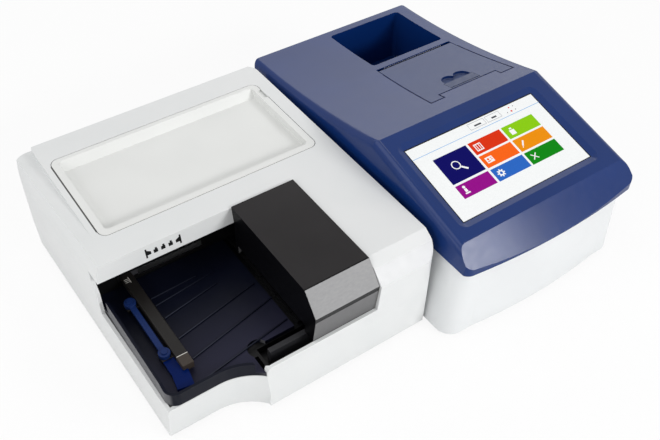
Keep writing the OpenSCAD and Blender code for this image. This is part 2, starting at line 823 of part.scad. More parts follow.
module power_inlet() color([0.08, 0.08, 0.08]) {
    difference() {
        union() {
            block(inlet_x - 13.7, inlet_x + 13.7, panel_y1 - 20, panel_y1,
                  panel_mid_z - 10.2, panel_mid_z + 10.2);
            slab_y(inlet_x - 16, inlet_x + 16, panel_y1, panel_y1 + 1.5,
                   panel_mid_z - 13, panel_mid_z + 13, 3);
        }
        slab_y(inlet_x - 11.5, inlet_x + 11.5, panel_y1 - 16, panel_y1 + 3,
               panel_mid_z - 7.5, panel_mid_z + 7.5, 2);
    }
    // Three blades, the middle one higher
    for (dx = [-7, 0, 7]) {
        rise = dx == 0 ? 2 : -1;
        block(inlet_x + dx - 1, inlet_x + dx + 1, panel_y1 - 17, panel_y1 - 3,
              panel_mid_z - 2 + rise, panel_mid_z + 2 + rise);
    }
}

module switch_frame() color([0.06, 0.06, 0.06])
    difference() {
        union() {
            block(switch_x - 7.7, switch_x + 7.7, panel_y1 - 12, panel_y1,
                  panel_mid_z - 11.7, panel_mid_z + 11.7);
            block(switch_x - 9.5, switch_x + 9.5, panel_y1, panel_y1 + 1.5,
                  panel_mid_z - 13.5, panel_mid_z + 13.5);
        }
        block(switch_x - rocker_w / 2 - fit, switch_x + rocker_w / 2 + fit, panel_y1 - 9, panel_y1 + 3,
              panel_mid_z - rocker_h / 2 - 0.8, panel_mid_z + rocker_h / 2 + 0.8);
        rod_x(switch_x - rocker_w / 2 - 1.2, switch_x + rocker_w / 2 + 1.2, rocker_y, panel_mid_z,
              rocker_pin_r + run_gap);
    }

module power_switch() color([0.15, 0.15, 0.15])
    translate([switch_x, rocker_y, panel_mid_z]) rotate([rocker_tilt, 0, 0]) {
        half = rocker_h / 2 - 0.6;
        prism_x(-rocker_w / 2, rocker_w / 2, [[-2, -4], [2, -half], [4.2, -half], [3, 0],
                                              [4.2, half], [2, half], [-2, 4]]);
        rod_x(-rocker_w / 2 - 1, rocker_w / 2 + 1, 0, 0, rocker_pin_r);
    }

module data_ports() color([0.7, 0.7, 0.72]) {
    for (i = [0 : 1]) {
        x = ports_x + 16 * i;
        difference() {
            block(x - 6.4, x + 6.4, panel_y1 - 14, panel_y1 + 0.5, panel_mid_z - 3.2, panel_mid_z + 3.2);
            block(x - 5.8, x + 5.8, panel_y1 - 12, panel_y1 + 1, panel_mid_z - 2.6, panel_mid_z + 2.6);
        }
        block(x - 5, x + 5, panel_y1 - 12.5, panel_y1 - 2, panel_mid_z - 0.2, panel_mid_z + 1.6);
    }
}

module network_port() color([0.72, 0.73, 0.75])
    difference() {
        block(ports_x + 25.1, ports_x + 40.9, panel_y1 - 18, panel_y1 + 0.5,
              panel_mid_z - 6.7, panel_mid_z + 6.7);
        block(ports_x + 27, ports_x + 39, panel_y1 - 14, panel_y1 + 1, panel_mid_z - 5, panel_mid_z + 3);
    }

// Feeder housing

// Left wall and the edge above it, on the turned line of the wall
function feeder_xz(t) = [
    [cx, foot_h - 1],
    [cx, platform_z - t],
    [x_left + 4.4 + t, platform_z - t],
    [x_left + 2.6 + t * 0.8, platform_z - 5 - t * 0.6],
    [x_left + 0.7 + t, platform_z - 13],
    [x_left - 0.7 + t, platform_z - 24],
    [x_left + 0.5 + t, foot_h - 1]
];

function feeder_yz(t) = [
    [feeder_back - 14 - t, foot_h - 1],
    [feeder_back - t, platform_z - 20],
    [feeder_back - t, platform_z - 3 - t],
    [feeder_back - 3 - t, platform_z - t],
    [front_y + 21 + t, platform_z - t],
    [front_y + 11 + t, platform_z - 6.4 - t],
    [front_y + t, platform_z - 18 - t],
    [front_y + 4.3 + t, bay_floor_z - 5],
    [front_y + 6 + t, foot_h - 1]
];

// Space in front of the scooped wall, which falls back towards the foot
module scoop_cut(t, z1) {
    lean = 10;
    translate([0, notch_y + t, bay_floor_z]) rotate([lean, 0, 0]) translate([0, 0, -big / 4])
        linear_extrude(z1 - bay_floor_z + big / 4 + 20) {
            translate([x_left - 20, -60]) square([scoop_x - x_left + 20, 60]);
            intersection() {
                translate([scoop_x, -scoop_r]) circle(scoop_r + t, $fn = 180);
                translate([scoop_x - eps, -60]) square([scoop_end - scoop_x + t, 70]);
            }
        }
}

// Outline from above; the left wall is turned by side_turn about the front of the platform
module feeder_plan(t) {
    r = 14 - t;
    wall_out = 0.7;
    slope = tan(side_turn);
    y0 = front_y + t;
    y1 = feeder_back - t;
    lift = [-r * cos(side_turn), -r * sin(side_turn)];
    c0 = [x_left - wall_out + t + r - slope * (y0 + r - plat_y0), y0 + r];
    c1 = [x_left - wall_out + t + r - slope * (y1 - r - plat_y0), y1 - r];
    polygon([c0 + lift, [c0[0], y0], [feeder_x1 - t - r, y0], [feeder_x1 - t, y0 + r],
             [feeder_x1 - t, y1 - r],
             [feeder_x1 - t - r, y1], [c1[0], y1], c1 + lift]);
    for (c = [c0, c1, [feeder_x1 - t - r, y0 + r], [feeder_x1 - t - r, y1 - r]]) translate(c) circle(r);
}

// Space over the shoulder, which falls away from the platform towards the back
module shoulder_cut(t)
    difference() {
        prism_x(x_left - 10, plat_x0 + 20, [[shoulder_y0, platform_z - t], [y_back, shoulder_z - t],
                                            [y_back, platform_z + 5], [shoulder_y0, platform_z + 5]]);
        slab(plat_x0 + t, cx, y_front, feeder_back + 1 - t, 0, platform_z + 10, 9);
    }

module feeder_form(t, z0, z1)
    difference() {
        intersection() {
            translate([x_left, plat_y0, 0]) rotate([0, 0, side_turn]) translate([-x_left, -plat_y0, 0])
                prism_y(2 * y_front, 2 * y_back, feeder_xz(t));
            prism_x(x_left - 10, feeder_x1 + 1, feeder_yz(t));
            translate([0, 0, z0]) linear_extrude(z1 - z0) feeder_plan(t);
        }
        scoop_cut(t, z1 + 1);
        shoulder_cut(t);
    }

// The open bay: over the tray, under the front of the platform and under the reader cover
module bay_space() {
    difference() {
        union() {
            block(x_left - 5, reader_x1, y_front, plat_y0 - fascia_lean, bay_floor_z, platform_z + 5);
            prism_x(x_left - 5, reader_x1, [[plat_y0 - fascia_lean - 1, platform_z - fascia_h],
                                            [plat_y0 - fascia_lean, platform_z - fascia_h],
                                            [plat_y0, platform_z], [plat_y0, platform_z + 5],
                                            [plat_y0 - fascia_lean - 1, platform_z + 5]]);
            block(x_left + bay_side, reader_x1, plat_y0 - 5, bay_back + liner_t + fit, bay_floor_z,
                  platform_z - fascia_h);
            // The left wall starts behind the fascia and rises backwards
            prism_x(x_left - 5, x_left + bay_side + eps,
                    [[plat_y0 - 5, bay_floor_z], [plat_y0 + 4, bay_floor_z], [plat_y0 + 4, platform_z - 34],
                     [plat_y0 + 8, platform_z - 23], [plat_y0 + 15, platform_z - fascia_h],
                     [plat_y0 - 5, platform_z - fascia_h]]);
        }
        // Low wall in front of the feed trough, with a rounded left end
        prism_y(y_front, front_y + 8, [[low_wall_x0, bay_floor_z - 1], [low_wall_x0, low_wall_z - 4],
                                       [low_wall_x0 + 1, low_wall_z - 1.6], [low_wall_x0 + 3, low_wall_z - 0.4],
                                       [low_wall_x0 + 5, low_wall_z], [reader_x1 + 1, low_wall_z],
                                       [reader_x1 + 1, bay_floor_z - 1]]);
    }
}

feeder_boss_x = [x_left + 14, feeder_x1 - 12];
feeder_boss_y = [notch_y + 24, feeder_back - 28];
feeder_boss_h = 18;

module feeder_housing() color([0.9, 0.91, 0.9])
    difference() {
        union() {
            difference() {
                feeder_form(0, foot_h, platform_z + 1);
                difference() {
                    feeder_form(wall, foot_h - 2, platform_z + 1);
                    // Fascia under the front edge of the platform
                    block(x_left, feeder_x1, plat_y0 - fascia_lean - 1, plat_y0 + wall, platform_z - fascia_h,
                          platform_z);
                    // Inner wall beside the reader
                    block(reader_x1, reader_x1 + wall, y_front, plat_y0 + wall, bay_floor_z - 6, platform_z);
                    // Ledge that the tray lid rests on
                    slab(lid_x0 - 4, lid_x1 + 4, lid_y0 - 4, lid_y1 + 4,
                         platform_z - lid_seat - 3, platform_z, lid_r);
                    // Screw bosses and the webs that tie them to the side walls
                    for (x = feeder_boss_x, y = feeder_boss_y) {
                        rod_z(x, y, feeder_floor_z, feeder_floor_z + feeder_boss_h, boss_r);
                        block(x < reader_x0 ? x_left - 5 : x, x < reader_x0 ? x : feeder_x1 + 5,
                              y - 1.5, y + 1.5,
                              feeder_floor_z + 1, feeder_floor_z + feeder_boss_h - 1);
                    }
                }
            }
            // Nub on the low wall
            rod_z(low_wall_x0 + 20, front_y + 11, low_wall_z - 8, low_wall_z + 2, 1.3);
        }
        bay_space();
        slab(lid_x0, lid_x1, lid_y0, lid_y1, platform_z - lid_seat, platform_z + 1, lid_r);
        slab(lid_x0 + ledge_w, lid_x1 - ledge_w, lid_y0 + ledge_w, lid_y1 - ledge_w, platform_z - 20,
             platform_z + 1, lid_r - 3);
        for (x = feeder_boss_x, y = feeder_boss_y)
            rod_z(x, y, foot_h, feeder_floor_z + feeder_boss_h - 2, screw_r + screw_clear);
    }

module feeder_base() color([0.86, 0.87, 0.86])
    difference() {
        feeder_form(wall + fit, foot_h, feeder_floor_z);
        for (x = feeder_boss_x, y = feeder_boss_y) {
            rod_z(x, y, foot_h - 1, feeder_floor_z + 1, screw_r + screw_clear);
            rod_z(x, y, foot_h - 1, foot_h + 1.2, screw_head_r + 0.4);
        }
    }

module feeder_screws() color([0.6, 0.6, 0.62])
    screws(feeder_boss_x, feeder_boss_y, foot_h - 0.9, 16);

module feeder_feet() color([0.12, 0.12, 0.12])
    for (x = [x_left + 34, feeder_x1 - 30], y = [notch_y + 44, feeder_back - 40]) foot(x, y);

// Steel plates under the floors that tie the two units together
module link_plates() color([0.7, 0.7, 0.72]) {
    plate_w = 30;
    plate_t = 1.5;
    for (y = [notch_y + 60, feeder_back - 90])
        slab(feeder_x1 - 22, console_x0 + 32, y, y + plate_w, foot_h - plate_t, foot_h, 4);
}

// Tray lid and waste bin

module tray_lid() color([0.92, 0.92, 0.91]) {
    rim = 5;
    g = lid_gap;
    floor_top = platform_z - lid_depth;
    slope = 6.5;
    difference() {
        union() {
            slab(lid_x0 + g, lid_x1 - g, lid_y0 + g, lid_y1 - g,
                 platform_z - lid_seat, platform_z, lid_r - g);
            slab(lid_x0 + ledge_w + g, lid_x1 - ledge_w - g, lid_y0 + ledge_w + g, lid_y1 - ledge_w - g,
                 floor_top - 2.4, platform_z - lid_seat + eps, lid_r - 3);
        }
        intersection() {
            slab(lid_x0 + rim + 2, lid_x1 - rim - 2, lid_y0 + rim + 2, lid_y1 - rim,
                 floor_top, platform_z + 1, 4);
            prism_x(lid_x0, lid_x1, [[lid_y0, floor_top - 1], [lid_y0, platform_z + 1],
                                     [lid_y1 - rim + 1, platform_z + 1], [lid_y1 - rim, platform_z],
                                     [lid_y1 - rim - slope, floor_top],
                                     [lid_y1 - rim - slope, floor_top - 1]]);
        }
        // Finger notch in the right back corner of the rim
        slab(lid_x1 - 4.5, lid_x1 + 2, lid_y1 - 26, lid_y1 - 12, platform_z - 2, platform_z + 1, 2);
    }
}

bin_x0 = reader_x0 + 18;
bin_x1 = feeder_x1 - 14;
bin_y0 = frame_y + 10;
bin_y1 = lid_y1 - 8;
bin_top = platform_z - 14;

module waste_bin() color([0.75, 0.77, 0.79])
    difference() {
        union() {
            slab(bin_x0, bin_x1, bin_y0, bin_y1, feeder_floor_z, bin_top, 6);
            slab(bin_x0 - 2, bin_x1 + 2, bin_y0 - 2, bin_y1 + 2, bin_top - 2, bin_top, 8);
        }
        slab(bin_x0 + 2, bin_x1 - 2, bin_y0 + 2, bin_y1 - 2, feeder_floor_z + 2, bin_top + 1, 4);
    }

// Bay liner: floor, back wall with the pusher's slot, side wall, and the sunk feed trough

module bay_liner() color([0.05, 0.05, 0.06]) {
    x0 = x_left + wall + 2;
    x1 = reader_x1 - fit;
    y0 = tray_y0 + 6;
    difference() {
        union() {
            block(x0, x1, y0, liner_back, bay_floor_z - liner_t, bay_floor_z);
            block(scoop_end + 1.2, x1, trough_y0 + fit, y0 + eps, bay_floor_z - liner_t, bay_floor_z);
            block(x0, x1, bay_back, liner_back, bay_floor_z - eps, platform_z - fascia_h - fit);
            block(x1 - liner_t, x1, trough_y0 + fit, liner_back, bay_floor_z - eps, low_wall_z);
            block(x1 - liner_t, x1, plat_y0 - fascia_lean, liner_back,
                  bay_floor_z, platform_z - fascia_h - fit);
            block(scoop_end + 1.2, x1, trough_y0 + fit, trough_y1 + liner_t, trough_z - liner_t, bay_floor_z);
        }
        block(scoop_end + 1.2 + liner_t, x1 - liner_t, trough_y0 + fit + liner_t, trough_y1,
              trough_z, bay_floor_z + 1);
        block(bar_x0 - 3, bar_x1 + pusher_travel + 3, bay_back - 1, liner_back + 1, slot_z0, slot_z1);
    }
    // Legs on the base plate
    for (x = [x0 + 40, reader_x1 - 14], y = [y0 + 34, bay_back - 18])
        rod_z(x, y, feeder_floor_z, bay_floor_z - liner_t + eps, 5);
}

// Strip tray

module tray_plan(inset) {
    r = 10 - inset;
    x0 = tray_x0 + inset;
    y0 = tray_y0 + inset;
    difference() {
        union() {
            translate([x0 + r, y0 + r]) circle(r);
            translate([x0 + r, y0]) square([scoop_x - x0 - r + eps, 30]);
            translate([x0, y0 + r]) square([tray_x1 - inset - x0, tray_y1 - inset - y0 - r]);
            translate([scoop_x, front_y + 4 + inset]) square([low_wall_x0 - fit - inset - scoop_x, 40]);
            translate([scoop_end - 8, trough_y1 + 1 + inset])
                square([tray_x1 - inset - scoop_end + 8, 12]);
        }
        // Scooped front, on the same centre as the housing's scoop
        translate([scoop_x, notch_y - scoop_r]) circle(scoop_r + 0.5 + inset, $fn = 180);
        // Space for the feed trough
        translate([low_wall_x0 - fit - inset, trough_y0 - 10])
            square([80, trough_y1 + 1 + inset - trough_y0 + 10]);
        translate([scoop_end + 4, trough_y1 - 2]) circle(9 + inset);
    }
}

// A low rib on the tray floor between two points
module tray_rib(a, b) {
    rib_w = 1;
    rib_h = 1.2;
    d = b - a;
    translate([a[0], a[1], tray_floor_z - eps]) rotate([0, 0, atan2(d[1], d[0])])
        translate([0, -rib_w / 2, 0]) cube([norm(d), rib_w, rib_h]);
}

rib_x0 = bar_x1 + 3;
rib_starts = [-8, -17, -33, -58, -82, -104];
rib_ends = [[44, 2], [59, 7], [55, 10], [82, 17], [86, 19], [84, 14]];

module strip_tray() color([0.1, 0.11, 0.18]) {
    lip_t = 2.4;
    difference() {
        translate([0, 0, bay_floor_z]) linear_extrude(tray_wall_z - bay_floor_z) tray_plan(0);
        translate([0, 0, tray_floor_z]) linear_extrude(tray_wall_z) tray_plan(lip_t);
        // Open to the back and to the right above the floor
        block(tray_x0 + lip_t, tray_x1 + 1, plat_y0 - 60, tray_y1 + 1, tray_floor_z, tray_wall_z + 1);
        block(scoop_end - 10, tray_x1 + 1, y_front, tray_y1 + 1, tray_floor_z, tray_wall_z + 1);
        block(tray_x0 - 1, tray_x1 + 1, plat_y0 - 1, tray_y1 + 1, tray_floor_z, tray_wall_z + 1);
        // The front lip is lower than the side wall
        prism_x(tray_x0 + lip_t + 6, tray_x1 + 1, [[y_front, tray_lip_z], [y_front, tray_wall_z + 1],
                                                 [plat_y0, tray_wall_z + 1], [plat_y0, tray_lip_z]]);
        prism_x(tray_x0 - 1, tray_x0 + lip_t + 7, [[y_front, tray_lip_z], [y_front, tray_wall_z + 1],
                                                   [tray_y0 + 17, tray_wall_z + 1], [tray_y0 + 15, tray_wall_z],
                                                   [tray_y0 + 7, tray_lip_z]]);
        // Hollow under the floor
        translate([0, 0, bay_floor_z - 1]) linear_extrude(tray_skirt + 1) tray_plan(lip_t);
    }
    for (i = [0 : len(rib_starts) - 1])
        tray_rib([rib_x0, plat_y0 + rib_starts[i]],
                 [rib_x0 + rib_ends[i][0], plat_y0 + rib_starts[i] + rib_ends[i][1]]);
}

module feed_rails() color([0.22, 0.22, 0.23])
    block(scoop_end + 8, reader_x1 - liner_t - 3, rail_y, rail_y + rail_w, trough_z, rail_top_z);

// Reader cover

module reader_cover() color([0.18, 0.18, 0.19])
    difference() {
        prism_x(reader_x0, reader_x1 - reader_gap, reader_outline(0));
        prism_x(reader_x0 + reader_t, reader_x1 - reader_gap - reader_t, reader_outline(reader_t));
        // Entry for the strips in the left side
        block(reader_x0 - 1, reader_x0 + reader_t + 1, reader_front1 + 16, plat_y0 - 8, 0, tunnel_z);
        // Fine groove below the edge of the front
        block(reader_x0 - 1, reader_x1 + 1, reader_front1 - 3, reader_front1 + 0.7, reader_crease_z - 4.4,
              reader_crease_z - 0.6);
    }

function reader_outline(t) = [
    [plat_y0 - fascia_lean - reader_gap - t, low_wall_z - (t > 0 ? 5 : 0)],
    [plat_y0 - fascia_lean - reader_gap - t, platform_z - fascia_h],
    [plat_y0 - reader_gap - t, platform_z + 0.5 - t],
    [plat_y0 - reader_gap - t, reader_top_z - t],
    [reader_front0 + t * 0.4, reader_top_z - t],
    [reader_front1 + t, reader_crease_z - t * 0.4],
    [reader_front1 + 4 + t, low_wall_z - (t > 0 ? 5 : 0)]
];

// Reading station under the cover

module read_stage() color([0.15, 0.15, 0.16])
    difference() {
        block(stage_x0, stage_x1, stage_y0, bay_back - fit, bay_floor_z, stage_z);
        for (i = [0 : 3])
            block(stage_x0 - 1, stage_x1 + 1, stage_y0 + 8 + 24 * i, stage_y0 + 12 + 24 * i, stage_z - 1.5,
                  stage_z + 1);
        block(stage_x0 + 20, stage_x0 + 34, stage_y0 + 13, stage_y0 + 79, stage_z - 1, stage_z + 1);
    }

module reference_plate() color([0.97, 0.97, 0.97])
    block(stage_x0 + 20.2, stage_x0 + 33.8, stage_y0 + 13.2, stage_y0 + 78.8, stage_z - 1, stage_z - 0.2);

module optical_head() color([0.12, 0.13, 0.15])
    difference() {
        union() {
            block(head_x0, head_x0 + head_w, head_y0, head_y0 + head_len, head_z0, head_z0 + head_h);
            rod_z(head_x0 + head_w / 2, head_y0 + head_len / 2, head_z0 - 4, head_z0 + eps, 6);
        }
        rod_z(head_x0 + head_w / 2, head_y0 + head_len / 2, head_z0 - 5, head_z0 + 6, 4);
        for (side = [-1, 1])
            rod_y(head_x0 + head_w / 2 + side * head_rod_x, head_y0 - 1, head_y0 + head_len + 1, head_rod_z,
                  rod_r + run_gap);
    }

module head_rods() color([0.8, 0.8, 0.82])
    for (side = [-1, 1])
        rod_y(head_x0 + head_w / 2 + side * head_rod_x, carrier_y0 + 0.5, carrier_y1 - 0.5,
              head_rod_z, rod_r);

// Two uprights on the stage that carry the head's rods
module head_carrier() color([0.5, 0.5, 0.52])
    for (y = [carrier_y0, carrier_y1 - carrier_t])
        difference() {
            block(head_x0 - 2, head_x0 + head_w + 2, y, y + carrier_t, stage_z, head_rod_z + 7);
            for (side = [-1, 1])
                rod_y(head_x0 + head_w / 2 + side * head_rod_x, y - 1, y + carrier_t + 1, head_rod_z, rod_r);
            block(head_x0 + 4, head_x0 + head_w - 4, y - 1, y + carrier_t + 1, stage_z - 1, head_z0 + 6);
        }

// Strip pusher

module pusher_bar() color([0.16, 0.15, 0.14]) {
    block(bar_x0, bar_x1, bar_front, liner_back + 1.5, bar_z0, bar_z0 + bar_h);
    // Arms under the link on the left
    for (y = link_y) block(bar_x0 - 10, bar_x0 + eps, y - 5, y + 5, bar_z0, bar_z0 + 3);
}

module pusher_carriage() color([0.25, 0.25, 0.27])
    difference() {
        block(carriage_x0, carriage_x0 + carriage_w, liner_back + 1.5, drive_y + 5, rod_low_z - 6,
              bar_z0 + bar_h + 0.7);
        for (z = [rod_low_z, rod_high_z]) rod_x(x_left, cx, drive_y, z, rod_r + run_gap);
    }

module pusher_link() color([0.12, 0.24, 0.55])
    difference() {
        union() {
            for (y = link_y) rod_z(link_x, y, bar_z0 + 3, bar_z0 + 7, link_r);
            block(link_x - link_w / 2, link_x + link_w / 2, link_y[0], link_y[1], bar_z0 + 3, bar_z0 + 6);
        }
        for (y = link_y) rod_z(link_x, y, bar_z0 + 2, bar_z0 + 8, link_pin_r + 0.1);
    }

module link_pins() color([0.6, 0.62, 0.66])
    for (y = link_y) {
        rod_z(link_x, y, bar_z0 + 3, bar_z0 + 7, link_pin_r);
        rod_z(link_x, y, bar_z0 + 7, bar_z0 + 8, link_pin_r + 1.1);
    }

// Finger tab at the front of the bar, turned a little, on a neck that starts below the link
module pusher_tab() color([0.03, 0.13, 0.42]) {
    z0 = bar_z0 - 1;
    z1 = bar_z0 + 2.6;
    difference() {
        translate([link_x + 1.8, bar_front - 5.4, 0]) rotate([0, 0, -10])
            block(-6.8, 6.8, -9.3, 9.3, z0, z1);
        block(bar_x0 - 0.1, bar_x1, bar_front - 0.1, bar_front + 10, z0 - 1, z1 + 1);
    }
    block(link_x - 4, bar_x0 - 0.1, bar_front - 5, link_y[0] - 5.3, z0, z1);
}

// Drive of the pusher

module guide_rods() color([0.8, 0.8, 0.82])
    for (z = [rod_low_z, rod_high_z]) rod_x(frame_x0 + 0.5, frame_x1 - 0.5, drive_y, z, rod_r);

module drive_frame() color([0.66, 0.67, 0.68]) {
    top = pulley_z + pulley_r + 4;
    difference() {
        union() {
            block(frame_x0, frame_x1, frame_y, frame_y + frame_t, feeder_floor_z, top);
            for (x = [frame_x0, frame_x1 - frame_t])
                block(x, x + frame_t, liner_back + 1, frame_y + eps, feeder_floor_z, top);
            block(frame_x0, frame_x1, frame_y, frame_y + 14, feeder_floor_z, feeder_floor_z + frame_t);
        }
        for (z = [rod_low_z, rod_high_z]) rod_x(frame_x0 - 1, frame_x1 + 1, drive_y, z, rod_r);
        rod_y(idler_x, frame_y - 1, frame_y + frame_t + 1, pulley_z, motor_shaft_r);
        rod_y(motor_x, frame_y - 1, frame_y + frame_t + 1, pulley_z, 6);
    }
}

module belt_loop(r) {
    translate([idler_x, pulley_z]) circle(r);
    translate([motor_x, pulley_z]) circle(r);
    translate([idler_x, pulley_z - r]) square([motor_x - idler_x, 2 * r]);
}

module drive_belt() color([0.07, 0.07, 0.07])
    translate([0, drive_y + belt_w / 2, 0]) rotate([90, 0, 0]) linear_extrude(belt_w)
        difference() {
            belt_loop(pulley_r + belt_t);
            belt_loop(pulley_r + 0.3);
        }

module pulley(x, bore) {
    difference() {
        union() {
            rod_y(x, drive_y - belt_w / 2 - 0.5, drive_y + belt_w / 2 + 0.5, pulley_z, pulley_r);
            rod_y(x, drive_y + belt_w / 2 + 0.3, drive_y + belt_w / 2 + 1.5, pulley_z, pulley_r + 0.8);
        }
        rod_y(x, drive_y - belt_w, drive_y + belt_w + 2, pulley_z, bore);
        for (i = [0 : 5])
            translate([x, 0, pulley_z]) rotate([0, 60 * i, 0])
                rod_y(pulley_r * 0.62, drive_y - belt_w, drive_y + belt_w + 2, 0, 1.3);
    }
}

module drive_pulley() color([0.72, 0.72, 0.74]) {
    pulley(motor_x, motor_shaft_r - 0.5);
    rod_y(motor_x, drive_y - belt_w / 2, frame_y + frame_t + 2, pulley_z, motor_shaft_r);
}

module idler_pulley() color([0.72, 0.72, 0.74]) pulley(idler_x, motor_shaft_r + run_gap);

module idler_pin() color([0.6, 0.6, 0.62])
    rod_y(idler_x, drive_y - belt_w / 2 - 1, frame_y + frame_t, pulley_z, motor_shaft_r);

module feed_motor() color([0.25, 0.25, 0.26])
    difference() {
        union() {
            rod_y(motor_x, frame_y + frame_t, frame_y + frame_t + motor_len, pulley_z, motor_r);
            rod_y(motor_x, frame_y + frame_t - 1, frame_y + frame_t + eps, pulley_z, 5.5);
        }
        rod_y(motor_x, frame_y - 2, frame_y + frame_t + 4, pulley_z, motor_shaft_r + run_gap);
    }

feeder_board_x0 = x_left + 24;
feeder_board_x1 = reader_x0 - 4;
feeder_board_y0 = frame_y + 44;
feeder_board_y1 = feeder_back - 30.2;
feeder_board_z = feeder_floor_z + 8;

module feeder_board() color([0.1, 0.35, 0.2])
    board(feeder_board_x0, feeder_board_x1, feeder_board_y0, feeder_board_y1, feeder_board_z);

console_base();
console_cover();
screen_glass();
screen_module();
printer_door();
door_latch();
door_hinge_pins();
paper_bay();
paper_roll();
print_head();
platen_roller();
printer_drive();
tear_bar();
main_board();
board_spacers();
power_supply();
rear_panel();
power_inlet();
power_switch();
switch_frame();
data_ports();
network_port();
console_feet();
console_screws();
feeder_housing();
feeder_base();
tray_lid();
waste_bin();
bay_liner();
strip_tray();
feed_rails();
reader_cover();
read_stage();
reference_plate();
optical_head();
head_rods();
head_carrier();
pusher_bar();
pusher_carriage();
pusher_link();
link_pins();
pusher_tab();
guide_rods();
drive_frame();
drive_belt();
drive_pulley();
idler_pulley();
idler_pin();
feed_motor();
feeder_board();
feeder_feet();
feeder_screws();
link_plates();
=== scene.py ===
import math

import bmesh
import bpy
from mathutils import Matrix, Vector
from mathutils.bvhtree import BVHTree


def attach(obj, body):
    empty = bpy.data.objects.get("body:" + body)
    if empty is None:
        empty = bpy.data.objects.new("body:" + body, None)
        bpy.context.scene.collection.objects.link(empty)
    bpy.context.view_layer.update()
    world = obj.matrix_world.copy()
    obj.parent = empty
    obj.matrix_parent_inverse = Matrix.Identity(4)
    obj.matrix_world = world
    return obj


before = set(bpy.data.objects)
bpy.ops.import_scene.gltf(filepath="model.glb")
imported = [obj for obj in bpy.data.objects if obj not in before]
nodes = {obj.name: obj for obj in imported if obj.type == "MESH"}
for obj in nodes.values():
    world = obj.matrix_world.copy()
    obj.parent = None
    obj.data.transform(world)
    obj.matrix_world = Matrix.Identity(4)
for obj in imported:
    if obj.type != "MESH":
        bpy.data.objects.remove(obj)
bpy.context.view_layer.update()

MM = 0.001
UP, DOWN = (0, 0, 1), (0, 0, -1)
FRONT, BACK = (0, -1, 0), (0, 1, 0)
LEFT, RIGHT = (-1, 0, 0), (1, 0, 0)
GRAIN_DEPTH = 0.04 * MM
STREAK_DEPTH = 0.03 * MM


# Colours are written as they look on a screen, from 0 to 255
def tone(r, g, b):
    def linear(c):
        c /= 255
        return c / 12.92 if c <= 0.04045 else ((c + 0.055) / 1.055) ** 2.4
    return (linear(r), linear(g), linear(b), 1)


def dimmed(color, factor):
    return tuple(c * factor for c in color[:3]) + (1,)


class Graph:
    """Short names for the nodes of one material."""

    def __init__(self, name):
        self.mat = bpy.data.materials.new(name)
        self.mat.use_nodes = True
        self.tree = self.mat.node_tree
        self.shader = self.tree.nodes["Principled BSDF"]
        self.place = self.add("ShaderNodeTexCoord").outputs["Object"]

    def add(self, kind, **settings):
        node = self.tree.nodes.new(kind)
        for key, value in settings.items():
            setattr(node, key, value)
        return node

    def link(self, a, b):
        self.tree.links.new(a, b)

    def drive(self, socket, value):
        """Sets a socket of the shader: a node's output is linked, a number is written in."""
        if isinstance(value, bpy.types.NodeSocket):
            self.link(value, self.shader.inputs[socket])
        else:
            self.shader.inputs[socket].default_value = value

    def noise(self, scale, detail=3, stretch=None):
        node = self.add("ShaderNodeTexNoise")
        node.inputs["Scale"].default_value = scale
        node.inputs["Detail"].default_value = detail
        place = self.place
        if stretch:
            mapping = self.add("ShaderNodeMapping")
            mapping.inputs["Scale"].default_value = stretch
            self.link(place, mapping.inputs["Vector"])
            place = mapping.outputs["Vector"]
        self.link(place, node.inputs["Vector"])
        return node.outputs["Fac"]

    def spread(self, value, low, high, start=0.3, end=0.7):
        """Maps the stretch from start to end onto the stretch from low to high."""
        node = self.add("ShaderNodeMapRange")
        for key, number in (("From Min", start), ("From Max", end), ("To Min", low), ("To Max", high)):
            node.inputs[key].default_value = number
        self.link(value, node.inputs["Value"])
        return node.outputs["Result"]

    def mix(self, factor, a, b):
        node = self.add("ShaderNodeMix", data_type="RGBA")
        self.link(factor, node.inputs[0])
        for value, socket in ((a, node.inputs[6]), (b, node.inputs[7])):
            if isinstance(value, bpy.types.NodeSocket):
                self.link(value, socket)
            else:
                socket.default_value = value
        return node.outputs[2]

    def patches(self, scale, dark, light, detail=2, stretch=None):
        """Two near tones in soft patches."""
        return self.mix(self.spread(self.noise(scale, detail, stretch), 0, 1), dark, light)

    def bump(self, height, strength, distance):
        node = self.add("ShaderNodeBump")
        node.inputs["Strength"].default_value = strength
        node.inputs["Distance"].default_value = distance
        self.link(height, node.inputs["Height"])
        return node.outputs["Normal"]

    def share(self, vector, axis, start, end):
        """0 to 1 as a vector's part along an axis goes from start to end."""
        dot = self.add("ShaderNodeVectorMath", operation="DOT_PRODUCT")
        self.link(vector, dot.inputs[0])
        dot.inputs[1].default_value = axis
        return self.spread(dot.outputs["Value"], 0, 1, start, end)

    def facing(self, axis, start, end):
        """0 to 1 as the surface turns towards an axis of the part."""
        return self.share(self.add("ShaderNodeNewGeometry").outputs["Normal"], axis, start, end)

    def along(self, axis, start, end):
        """0 to 1 along an axis of the part; start and end are distances in millimetres."""
        return self.share(self.place, axis, start * MM, end * MM)

    def both(self, first, *others):
        """The product of factors: 1 only where all of them are."""
        for other in others:
            node = self.add("ShaderNodeMath", operation="MULTIPLY")
            self.link(first, node.inputs[0])
            self.link(other, node.inputs[1])
            first = node.outputs[0]
        return first

    def tint(self, factor, color):
        """Lays another colour over the base colour where the factor is 1."""
        under = self.shader.inputs["Base Color"].links[0].from_socket
        self.drive("Base Color", self.mix(factor, under, color))


